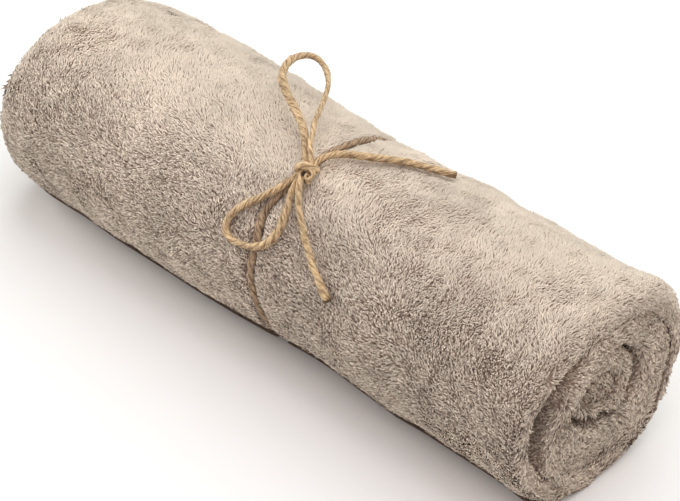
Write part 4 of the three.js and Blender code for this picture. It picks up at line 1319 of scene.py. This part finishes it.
outside_columns = np.arange(0, TURN + 0.01, FINE_COLUMN)
winding_columns = np.arange(0, CORE_START + 0.01, FINE_COLUMN)
fold_steps = np.linspace(0, 4, FOLD_POINTS)
outside = outside_grid(outside_columns, OUTSIDE_SPACING)
surfaces = {"outside": (outside, from_axis(outside))}
free_edge = free_edge_grid(outside[:, 0], outside[:, -1], fold_steps)
surfaces["free edge"] = (free_edge, -from_axis(free_edge) + np.array([0, -1.0, 0]))
for end_name, end in ENDS.items():
    along = np.array([end["side"], 0.0, 0.0])
    surfaces[f"{end_name} end"] = (end_grid(end, winding_columns, fold_steps), along)
    surfaces[f"{end_name} core"] = (core_grid(end, CORE_RINGS), along)
for name, (grid, outward) in surfaces.items():
    surfaces[name] = (grid, normals_of(grid, outward))
    print(f"{name}: {grid.shape[0]} by {grid.shape[1]} points")

# %% [markdown]
# The ground cloth
#
# Terry is a plain woven cloth with loops standing on it. The plain cloth shows only between the
# loops, painted dark for the shade there, but without it light would leak through the pile. It is
# the same skin, sunk below the solid's face by a little more than the height of the pile, so that
# the tips of the loops come up to about that face.

# %% Ground cloth
PILE_HEIGHT = 1.9
GROUND_DEPTH = 2.15
GROUND_LOWEST = 0.5
# The lower corner and the size of each part of the skin on the bake map
MAP_PLACES = {
    "outside": ((0.01, 0.01), (0.62, 0.98)),
    "free edge": ((0.65, 0.01), (0.03, 0.98)),
    "near end": ((0.70, 0.01), (0.10, 0.98)),
    "far end": ((0.82, 0.01), (0.10, 0.98)),
    "near core": ((0.94, 0.01), (0.05, 0.45)),
    "far core": ((0.94, 0.52), (0.05, 0.45)),
}


def ground_mesh():
    """The parts of the skin, sunk by the depth of the pile and joined in one mesh."""
    points, corners, places, count = [], [], [], 0
    for name, (grid, normal) in surfaces.items():
        sunk = grid - normal * GROUND_DEPTH
        sunk[..., 2] = np.maximum(sunk[..., 2], GROUND_LOWEST)
        rows, columns = grid.shape[:2]
        faces = grid_faces(rows, columns)
        low, high = MAP_PLACES[name]
        spots = grid_map(rows, columns, low, high)
        # Turn the faces round where their corners run the wrong way
        flat = sunk.reshape(-1, 3)
        a, b, c = (flat[faces[:, i]] for i in range(3))
        facing = np.sum(np.cross(b - a, c - a) * normal.reshape(-1, 3)[faces[:, 0]], axis=1)
        if np.median(facing) < 0:
            faces, spots = faces[:, ::-1], spots[:, ::-1]
        points.append(flat)
        corners.append(faces + count)
        places.append(spots)
        count += len(flat)
    corners = np.concatenate(corners)
    return new_mesh("towel_ground", np.concatenate(points), corners.ravel(), np.full(len(corners), 4),
                    np.concatenate(places).reshape(-1, 2))


add_piece("towel_ground", ground_mesh(), terry_ground, "terry", "towel_roll")

# %% [markdown]
# The lay of the pile
#
# Terry loops lean over, and the way they lean changes from place to place where hands have
# brushed the cloth. That lay is what the eye reads as terry: where the loops lean together they
# look like combed grain, and where two lays meet a dark parting opens. The lay is an angle on the
# surface, 0 along the roll towards the near end and 90 upwards round it to the back, read from a
# short table of brushed patches and stirred by a cloudy unevenness.

# %% Lay of the pile
LAY_REACH = 26
LAY_SPREAD = 20
LAY_ELSEWHERE = 85           # on the back and the underside
LAY = table(("along", "clock", "heading"), [
    (-165, -60, 85), (-165, -25, 75), (-163, 5, 60),
    (-138, -88, 145), (-136, -58, 145), (-140, -25, 25), (-135, 5, 70), (-130, 30, 40),
    (-110, -85, 150), (-110, -50, 145), (-112, -20, 110), (-110, 10, 95),
    (-75, -80, 170), (-75, -45, 172), (-75, -12, 140), (-75, 18, 112),
    (-40, -85, 175), (-40, -60, 160), (-40, -30, 172), (-38, 0, 130), (-40, 30, 135),
    (-10, -80, 170), (-2, -52, 85), (-15, -28, 130), (-15, 5, 138), (-10, 30, 120),
    (20, -88, 120), (22, -48, 132), (18, -27, 118), (24, -6, 42), (24, 22, 70),
    (45, -85, 160), (48, -62, 140), (44, -38, 140), (54, -18, 50), (52, 5, 42), (52, 25, 42),
    (80, -80, 140), (78, -48, 165), (80, -28, 28), (80, 0, 42), (82, 22, 48),
    (105, -82, 165), (106, -56, 30), (108, -34, 55), (110, -5, 125), (108, 20, 128),
    (140, -88, 118), (136, -60, 100), (138, -28, 85), (140, 2, 80), (140, 30, 110),
    (165, -85, 112), (165, -50, 72), (165, -18, 62), (165, 10, 115),
])
# The lay on the ends, by how far to the back and up: 0 points to the back and 90 upwards
END_LAY_REACH = 13
END_LAY = table(("back", "up", "heading"), [
    (48, 50, 272), (42, 72, 285), (28, 86, 318), (10, 93, 345), (-12, 94, 0), (-30, 86, 20),
    (-38, 72, 235), (-48, 52, 262), (-38, 34, 290), (-24, 24, 340), (-5, 16, 20), (18, 12, 50),
    (36, 18, 58), (46, 32, 270), (30, 62, 282), (12, 72, 330), (-8, 74, 348), (-18, 60, 10),
    (-32, 56, 250), (-22, 44, 262), (-8, 32, 270), (12, 38, 278), (14, 56, 290), (-2, 52, 325),
])
STIR_SIZE = 7
STIR = 20
STIR_WIDE_SIZE = 20
STIR_WIDE = 16
STIR_EACH = (8, 22)          # how far single loops turn from the lay, smoothed and opened
print("Brushed lays:", len(LAY["heading"]), "on the outside and", len(END_LAY["heading"]), "on an end")

# %% [markdown]
# Reading the lay
#
# Between the places of the table the lay turns gradually from one heading to the next. Headings
# can't be averaged as numbers, because 350 and 10 degrees point nearly the same way, so they are
# mixed as directions.

# %% Reading the lay
ELSEWHERE_WEIGHT = 0.03


def blend_headings(weights, headings):
    """The heading that a weighted mix of directions points to, in degrees."""
    turn = np.radians(headings)
    return np.degrees(np.arctan2(weights @ np.sin(turn), weights @ np.cos(turn)))


def stirred(heading, points, opened):
    """The lay stirred a little, in soft patches and from loop to loop."""
    each = np.random.default_rng(23).normal(0, 1, len(points)) * mix(*STIR_EACH, opened)
    return (heading + each + STIR * cloudy(points, STIR_SIZE, 21)
            + STIR_WIDE * cloudy(points, STIR_WIDE_SIZE, 22))


def side_lay(along, clock, points, opened):
    """Which way the loops of the outside lean: 0 along the roll, 90 up round it to the back."""
    far_along = (along[:, None] - LAY["along"]) / LAY_REACH
    far_round = clock_gap(clock[:, None], LAY["clock"]) / LAY_SPREAD
    weights = np.exp(-(far_along ** 2 + far_round ** 2))
    weights = np.concatenate([weights, np.full((len(along), 1), ELSEWHERE_WEIGHT)], axis=1)
    return stirred(blend_headings(weights, np.append(LAY["heading"], LAY_ELSEWHERE)), points, opened)


def end_lay(points):
    """Which way the loops of an end lean, in the plane of the end."""
    far = (points[:, 1:2] - END_LAY["back"]) ** 2 + (points[:, 2:3] - END_LAY["up"]) ** 2
    weights = np.exp(-far / END_LAY_REACH ** 2)
    return stirred(blend_headings(weights, END_LAY["heading"]), points, 1)


half_way = blend_headings(np.ones(2), np.array([350, 20]))
print("Half way between the headings 350 and 20:", round(float(half_way)), "degrees")

# %% [markdown]
# Patches of painted light and shade
#
# Pile that lies flat sends more light back than pile that was brushed up, so a towel that has been
# handled shows soft lighter and darker patches. The lean of the loops gives most of this. A short
# table paints the rest into the colour as patches of light and shade: above 0 is lighter, and each
# patch fades out over its reach.

# %% Patches of painted light and shade
LIGHT_AND_SHADE_PATCHES = table(("along", "back", "up", "reach", "tone"), [
    (14, -10, 96, 12, 0.18), (26, -18, 95, 14, 0.14), (10, -45, 77, 11, 0.22), (41, 30, 90, 15, 0.22),
    (-80, -38, 81, 26, 0.12), (-135, -15, 98, 15, 0.2), (46, -40, 83, 10, -0.14), (78, 9, 100, 13, -0.1),
    (80, -50, 72, 11, 0.1), (61, -57, 48, 11, 0.12), (142, -52, 24, 30, 0.24), (-10, -52, 24, 34, 0.14),
    (60, -22, 94, 10, 0.13), (-88, -57, 47, 22, 0.13),
    (172, 24, 70, 8, -0.14), (172, 1, 38, 12, -0.26), (164, -44, 57, 10, -0.34), (172, 44, 84, 10, 0.12),
    (173, 45, 58, 10, 0.15), (170, -38, 12, 8, -0.18),
])


def painted_patch_tone(points):
    """How much painted light or shade lies on the loops in the patches."""
    tone = np.ones(len(points))
    for along, back, up, reach, change in zip(*LIGHT_AND_SHADE_PATCHES.values()):
        far = np.linalg.norm(points - np.array([along, back, up]), axis=1) / reach
        tone += change * np.exp(-far ** 2)
    return tone


print("Tone in the middle of the first patch:", painted_patch_tone(np.array([[14.0, -10, 96]])).round(2))

# %% [markdown]
# Scattering the loops
#
# A loom sets the loops in rows, and washing shifts them. Roots thrown at random would clump and
# leave bare holes, so each cell of the skin is filled with small rows of its own, and each root is
# moved a little from its place. The back and the underside, which are seen less closely, hold
# fewer and larger loops.

# %% Scattering the loops
LOOP_PITCH = 0.74
HIDDEN_PITCH = 0.98
ROW_JITTER = 0.38


def scatter(grid, normal, pitch, seed, depth=None):
    """Roots in uneven rows over a grid's surface, with the surface's direction and depth at each.

    The pitch is one size, or one for each cell of the grid.
    """
    chance = np.random.default_rng(seed)
    a, b, c, d = grid[:-1, :-1], grid[:-1, 1:], grid[1:, 1:], grid[1:, :-1]
    wide = 0.5 * np.linalg.norm(b - a + c - d, axis=-1)
    deep = 0.5 * np.linalg.norm(d - a + c - b, axis=-1)
    across = np.floor(wide / pitch + chance.uniform(0, 1, wide.shape)).astype(int).ravel()
    down = np.floor(deep / pitch + chance.uniform(0, 1, deep.shape)).astype(int).ravel()
    held = across * down
    cell = np.repeat(np.arange(len(held)), held)
    place = np.arange(len(cell)) - np.repeat(np.cumsum(held) - held, held)
    row, column = np.divmod(cell, grid.shape[1] - 1)
    jitter = chance.uniform(0.5 - ROW_JITTER, 0.5 + ROW_JITTER, (2, len(cell)))
    u = ((place % across[cell] + jitter[0]) / across[cell])[:, None]
    v = ((place // across[cell] + jitter[1]) / down[cell])[:, None]

    def blend(field):
        low = mix(field[row, column], field[row, column + 1], u)
        high = mix(field[row + 1, column], field[row + 1, column + 1], u)
        return mix(low, high, v)

    if depth is None:
        depth = np.zeros(grid.shape[:2])
    return blend(grid), unit(blend(normal)), blend(depth[..., None])[:, 0]


print("Loops on a square centimetre of the front:", round((10 / LOOP_PITCH) ** 2))

# %% [markdown]
# The shape of a loop
#
# A real loop is a bent yarn, but from here only its back shows: a small grain with a foot in the
# cloth, a rounded belly and a tip that lies over. Four triangles are enough for it, because the
# facings given to its points bend the shading round from side to side. Hair curves would be lighter
# to draw, but the exported model wouldn't keep them.

# %% Shape of a loop
LOOP_CROWN = 0.34            # height of a loop's ridge over its sides, as a share of its width
# How far along the painted shade of a loop its five points are: dark at the foot, a little darker on the
# sides than on the ridge, pale at the tip
LOOP_SHADE_RAMP = np.array([0, 0.62, 0.75, 0.62, 1.0])      # how far up the loop its five points are
LOOP_FACES = np.array([[0, 2, 1], [0, 3, 2], [4, 1, 2], [4, 2, 3]])
HEIGHT_VARIES, LENGTH_VARIES, WIDTH_VARIES, BOW_VARIES = 0.16, 0.22, 0.14, 0.16
BELLY_UP, BELLY_ALONG, BELLY_BOW = 0.80, 0.50, 0.4
TIP_UP = 0.92
FOOT_FACES_BACK, TIP_FACES_ON = 0.2, 0.25


def loop_shapes(roots, normal, lean, height, length, width, rounded, seed):
    """Points and facings of the loops: a foot in the cloth, a full belly and a tip that lies over."""
    chance = np.random.default_rng(seed)
    count = len(roots)
    lean = unit(lean - normal * np.sum(lean * normal, axis=1)[:, None])
    side = np.cross(normal, lean)
    spread = chance.normal(0, 1, (4, count, 1))
    height = height[:, None] * (1 + HEIGHT_VARIES * spread[0])
    length = length[:, None] * (1 + LENGTH_VARIES * spread[1])
    width = width[:, None] * (1 + WIDTH_VARIES * spread[2])
    bow = side * length * spread[3] * BOW_VARIES
    belly = roots + normal * height * BELLY_UP + lean * length * BELLY_ALONG + bow * BELLY_BOW
    points = np.stack([
        roots,
        belly + side * width * 0.5,
        belly + normal * width * LOOP_CROWN,
        belly - side * width * 0.5,
        roots + normal * height * TIP_UP + lean * length + bow,
    ], axis=1)
    facing = np.stack([
        normal - lean * FOOT_FACES_BACK,
        normal + side * rounded[:, None],
        normal,
        normal - side * rounded[:, None],
        normal + lean * TIP_FACES_ON,
    ], axis=1)
    return points, facing


def loop_map(count):
    """Each loop has its own small square of the bake map."""
    across = math.ceil(math.sqrt(count))
    row, column = np.divmod(np.arange(count), across)
    spots = np.array([[0.5, 0.05], [0.95, 0.5], [0.5, 0.5], [0.05, 0.5], [0.5, 0.95]])
    square = spots[LOOP_FACES].reshape(-1, 2)
    corner = np.stack([column, row], axis=1)
    return ((corner[:, None] + square[None]) / across).reshape(-1, 2)


def loops_mesh(name, points, facing, tone, depth, sunk):
    """A mesh of loops, with the painted shade and the tone that their finish reads."""
    count = len(points)
    corners = LOOP_FACES.ravel()[None] + np.arange(count)[:, None] * points.shape[1]
    # Painted shade: the feet of smoothed pile show less of it, and pressed or low-lying loops get more
    reach = (1 - depth[:, None] * (1 - LOOP_SHADE_RAMP)) * (1 - sunk[:, None])
    values = {"reach": reach.ravel(), "tone": np.repeat(tone, points.shape[1])}
    return new_mesh(name, points.reshape(-1, 3), corners.ravel(), np.full(len(LOOP_FACES) * count, 3),
                    loop_map(count), values, facing)


print("A loop has", len(LOOP_FACES), "triangles and", len(LOOP_SHADE_RAMP), "points")

# %% [markdown]
# Growing a piece of pile
#
# Smoothed pile lies together and hides its feet. Opened pile stands apart, so its loops are wider,
# more mixed in tone and painted darker between, for the shade at their feet. Pairs of values give
# the two kinds, and every loop is mixed from them by how open the pile is where it grows. Twine and
# creases press the pile, which makes it shorter, and it is painted darker for the shade there.

# %% Growing a piece of pile
LOOP_LENGTH = (2.3, 2.45)    # pairs are for smoothed and for opened pile
LOOP_WIDTH = (0.56, 0.76)
LOOP_ROUND = (0.25, 1.30)    # how round a loop is shaded from side to side
TONE_SPREAD = (0.03, 0.16)
TONE_LIMITS = (0.6, 1.4)
# The feet of the loops are painted in shade; smoothed pile shows less of it
SMOOTHED_SHADE = 0.2         # how dark the feet of smoothed loops are, next to those of open pile
# Painted shade on random loops of open pile, as if they lay lower; their shape stays the same
OPEN_LOW_LOOP_SHADE = 0.9            # how far down the lowest loops of open pile lie
# How much painted shade pressed pile gets
PRESSED_SHADE = 0.62
PRESSED_LOWER, PRESSED_SHORTER, PRESSED_NARROWER = 0.35, 0.45, 0.2
TUFT_SIZE, TUFT_HEIGHT = 7, 0.10
WIDE_TUFT_SIZE, WIDE_TUFT_HEIGHT = 16, 0.08
LONG_TUFT_SIZE, LONG_TUFT_LENGTH = 9, 0.10
LOOP_LOWEST = 0.05


def clock_at(points):
    """The clock angle of points on the roll."""
    return np.degrees(np.arctan2(points[:, 1], points[:, 2] - CENTRE_HEIGHT))


def grow_loops(name, roots, normal, heading_vector, seed, pressed, opened, larger):
    """One piece of pile over roots on the ground cloth, shorter and painted darker where it is pressed.

    Opened pile, from 0 to 1, shows more painted shade at its feet, and more of its loops are painted
    dark as if they lay low.
    """
    chance = np.random.default_rng(seed + 50)
    uneven = 1 + TUFT_HEIGHT * cloudy(roots, TUFT_SIZE, seed)
    uneven += WIDE_TUFT_HEIGHT * cloudy(roots, WIDE_TUFT_SIZE, seed + 1)
    tall = PILE_HEIGHT * np.clip(uneven, 0.6, 1.3) * (1 - PRESSED_LOWER * pressed)
    stretch = np.clip(1 + LONG_TUFT_LENGTH * cloudy(roots, LONG_TUFT_SIZE, seed + 2), 0.6, 1.4)
    long = larger * mix(*LOOP_LENGTH, opened) * stretch * (1 - PRESSED_SHORTER * pressed)
    wide = larger * mix(*LOOP_WIDTH, opened) * (1 - PRESSED_NARROWER * pressed)
    points, facing = loop_shapes(roots - normal * GROUND_DEPTH, normal, heading_vector, tall, long, wide,
                                 mix(*LOOP_ROUND, opened), seed)
    points[..., 2] = np.maximum(points[..., 2], LOOP_LOWEST)
    tone = 1 + mix(*TONE_SPREAD, opened) * chance.normal(0, 1, len(roots))
    # Painted light and shade of the patches
    tone = np.clip(tone * painted_patch_tone(roots), *TONE_LIMITS)
    # Painted shade: how much of the dark feet shows, and how dark pressed and low-lying loops are
    depth = mix(SMOOTHED_SHADE, 1, opened)
    low = chance.uniform(0, 1, len(roots)) ** 2
    sunk = 1 - (1 - PRESSED_SHADE * pressed) * (1 - OPEN_LOW_LOOP_SHADE * opened * low)
    add_piece(name, loops_mesh(name, points, facing, tone, depth, sunk), terry_loops, "terry")


print("The pile is about", PILE_HEIGHT, "mm high")

# %% [markdown]
# The pile of the outside
#
# Hands have smoothed the pile on top of the roll, and it opens more and more down the front and at
# the rims, where more shade is painted at the feet of the loops. Beside the twine the loops are
# pressed, painted in shade and lean over towards it, and right under it there are none. The outside
# is split into five stretches along the roll, because one piece with all the loops would be too heavy
# to handle.

# %% Pile of the outside
TWINE_CLEAR = 1.0
TWINE_PRESSED = 3.2
# Pile beside the twine is pressed lower and painted with the shade beside the strand
PRESSED_BY_TWINE = 0.25
TWINE_LEAN_REACH = (1.2, 3.6)
TWINE_LEAN = 0.75
SMOOTHED_CLOCK = 20
PILE_OPENS = (20, 86)
RIM_OPENS = (148, 176)
OPEN_AT_RIM = 0.5
ALONG_CUTS = [-200, -104, -34, 36, 106, 200]
HIDDEN_CLOCKS = (85, 110)    # how far round from the front of the top the hidden side begins
FRONT_OF_TOP = -38


def hidden_share(clock):
    """From 0 where the outside is seen to 1 on the back and the underside."""
    return ramp(*HIDDEN_CLOCKS, clock_gap(clock, FRONT_OF_TOP))


def surface_heading(normal, heading):
    """A direction on the outside from an angle: 0 along the roll, 90 up round it."""
    along = unit(np.array([1.0, 0, 0]) - normal * normal[:, :1])
    around = np.cross(normal, along)
    turn = np.radians(heading)[:, None]
    return along * np.cos(turn) + around * np.sin(turn)


outside_pitch = mix(LOOP_PITCH, HIDDEN_PITCH, hidden_share(clock_at(outside.reshape(-1, 3))))
outside_pitch = outside_pitch.reshape(outside.shape[:2])[:-1, :-1]
outside_roots, outside_normals, _ = scatter(*surfaces["outside"], outside_pitch, 1)
edge_roots, edge_normals, _ = scatter(*surfaces["free edge"], LOOP_PITCH, 2)
all_roots = np.concatenate([outside_roots, edge_roots])
all_normals = np.concatenate([outside_normals, edge_normals])
all_clocks = clock_at(all_roots)
from_twine = np.abs(all_roots[:, 0] - read_band("along", all_clocks))
kept = from_twine > TWINE_CLEAR
all_roots, all_normals, all_clocks = all_roots[kept], all_normals[kept], all_clocks[kept]
beside_twine = 1 - ramp(TWINE_CLEAR, TWINE_PRESSED, from_twine[kept])
# Opened pile also gets more painted shade, so the front is painted darker than the top
opened = ramp(*PILE_OPENS, clock_gap(all_clocks, SMOOTHED_CLOCK))
opened = np.maximum(opened, OPEN_AT_RIM * ramp(*RIM_OPENS, np.abs(all_roots[:, 0])))
headings = side_lay(all_roots[:, 0], all_clocks, all_roots, opened)
lays = surface_heading(all_normals, headings)
to_twine = read_band("along", all_clocks) - all_roots[:, 0]
leans_over = TWINE_LEAN * (1 - ramp(*TWINE_LEAN_REACH, np.abs(to_twine)))
towards_twine = np.stack([np.sign(to_twine), to_twine * 0, to_twine * 0], axis=1)
lays = unit(mix(lays, towards_twine, leans_over[:, None]))
for i in range(len(ALONG_CUTS) - 1):
    here = (all_roots[:, 0] >= ALONG_CUTS[i]) & (all_roots[:, 0] < ALONG_CUTS[i + 1])
    grow_loops(f"pile_outside_{i + 1}", all_roots[here], all_normals[here], lays[here], 100 + i,
               PRESSED_BY_TWINE * beside_twine[here], opened[here],
               mix(1, HIDDEN_PITCH / LOOP_PITCH, hidden_share(all_clocks[here])))

# %% [markdown]
# The pile of the ends
#
# At an end the loops stand on the folded edges of the cloth, where nothing has smoothed them: they
# are larger and jumbled, and their lay follows the folds. Down in a crease they are pressed by the
# turns on both sides, lie across it and get little light, so they are also painted dark with that
# shade, which draws the winding as dark lines.

# %% Pile of the ends
CREASE_PRESSES = (1.5, 6.5)  # how deep in a crease the pile starts to be pressed, and is in full
CREASE_TURNS_LAY = 0.85
END_LOOPS_LARGER = 1.3
END_PITCH = 0.80
# Pile deep in a crease is pressed, and painted in shade
CREASE_PRESSED = 0.8
RIM_BAND = (36, 48)


def depth_in_creases(end, columns, steps):
    """How far each point of an end's grid lies behind the crests beside it, in mm."""
    column, step = np.meshgrid(columns, steps)
    back = HALF_LENGTH - end["side"] * end_point(end, column, step)[..., 0]
    return (back - crest_back(end, column)) * np.where((step < 2) & (column < TURN), 0, 1)


for seed, (end_name, end) in enumerate(ENDS.items()):
    depths = (depth_in_creases(end, winding_columns, fold_steps), None)
    parts = [scatter(*surfaces[f"{end_name} {part}"], END_PITCH, 10 + seed * 2 + k, depths[k])
             for k, part in enumerate(("end", "core"))]
    end_roots, end_normals, depth = (np.concatenate(values) for values in zip(*parts))
    pressed = ramp(*CREASE_PRESSES, depth)
    turn = np.radians(end_lay(end_roots))
    lean = np.stack([turn * 0, np.cos(turn), np.sin(turn)], axis=1)
    across = from_axis(end_roots)
    across *= np.where(np.sum(across * lean, axis=1) < 0, -1, 1)[:, None]
    lean = unit(mix(lean, across, (pressed * CREASE_TURNS_LAY)[:, None]))
    from_top = clock_gap(clock_at(end_roots), SMOOTHED_CLOCK)
    from_middle = np.hypot(end_roots[:, 1] * HALF_HEIGHT / HALF_WIDTH, end_roots[:, 2] - CENTRE_HEIGHT)
    at_rim = ramp(*RIM_BAND, from_middle)
    opened = 1 - (1 - OPEN_AT_RIM) * at_rim * (1 - ramp(*PILE_OPENS, from_top))
    grow_loops(f"pile_{end_name}_end", end_roots, end_normals, lean, 200 + seed,
               pressed * CREASE_PRESSED, opened, mix(1, END_LOOPS_LARGER, opened))

# %% [markdown]
# Floor and light
#
# The towel was photographed on white. Its main light is large and soft and comes from above and
# behind, so the top is bright and the front goes gently into shade. Weaker fills from the left, the
# front and the right open that shade, one of them low so that the foot of the roll isn't lost, and
# a pale floor sends light back up under the roll.

# %% Floor and light
FLOOR_COLOUR = (0.90, 0.90, 0.90, 1)
FLOOR_HALF = 3.0
ROOM_LIGHT = 0.04
LAMP_TARGET = Vector((0, 0, 0.05))
# Azimuth is 0 at the front, 90 at the near end and 180 at the back, and lengths are in metres
LAMPS = {
    "key": dict(azimuth=174, elevation=58, distance=1.7, size=3.0, power=41,
                colour=(0.985, 1.0, 0.975)),
    "left fill": dict(azimuth=-66, elevation=24, distance=1.1, size=0.9, power=6.6,
                      colour=(1.0, 0.995, 0.95)),
    "low fill": dict(azimuth=-20, elevation=9, distance=1.3, size=1.0, power=1.9,
                     colour=(1.0, 0.98, 0.96)),
    "front fill": dict(azimuth=40, elevation=60, distance=1.6, size=1.6, power=11,
                       colour=(1.0, 0.92, 0.95)),
    "right fill": dict(azimuth=80, elevation=30, distance=1.6, size=1.2, power=3.4,
                       colour=(1.0, 0.82, 0.68)),
}


def make_floor():
    """A pale floor that belongs to the picture and not to the towel."""
    material, _, shader = new_material("studio floor", 0.7, specular=0.2)
    shader.inputs["Base Color"].default_value = FLOOR_COLOUR
    corners = [(x * FLOOR_HALF, y * FLOOR_HALF, 0) for x, y in ((-1, -1), (1, -1), (1, 1), (-1, 1))]
    mesh = bpy.data.meshes.new("floor")
    mesh.from_pydata(corners, [], [(0, 1, 2, 3)])
    floor = bpy.data.objects.new("floor", mesh)
    bpy.context.collection.objects.link(floor)
    mesh.materials.append(material)


def add_lamp(name, azimuth, elevation, distance, size, power, colour):
    """A round soft lamp that is pointed at the towel."""
    lamp = bpy.data.lights.new(name, "AREA")
    lamp.shape = "DISK"
    lamp.size = size
    lamp.energy = power
    lamp.color = colour
    holder = bpy.data.objects.new(name, lamp)
    bpy.context.collection.objects.link(holder)
    aim(holder, LAMP_TARGET + direction_towards(azimuth, elevation) * distance, LAMP_TARGET)


make_floor()
for name, lamp in LAMPS.items():
    add_lamp(name, **lamp)
world = bpy.data.worlds.new("studio")
bpy.context.scene.world = world
world.use_nodes = True
world.node_tree.nodes["Background"].inputs["Color"].default_value = (1, 1, 1, 1)
world.node_tree.nodes["Background"].inputs["Strength"].default_value = ROOM_LIGHT
bpy.context.scene.view_settings.view_transform = "Standard"
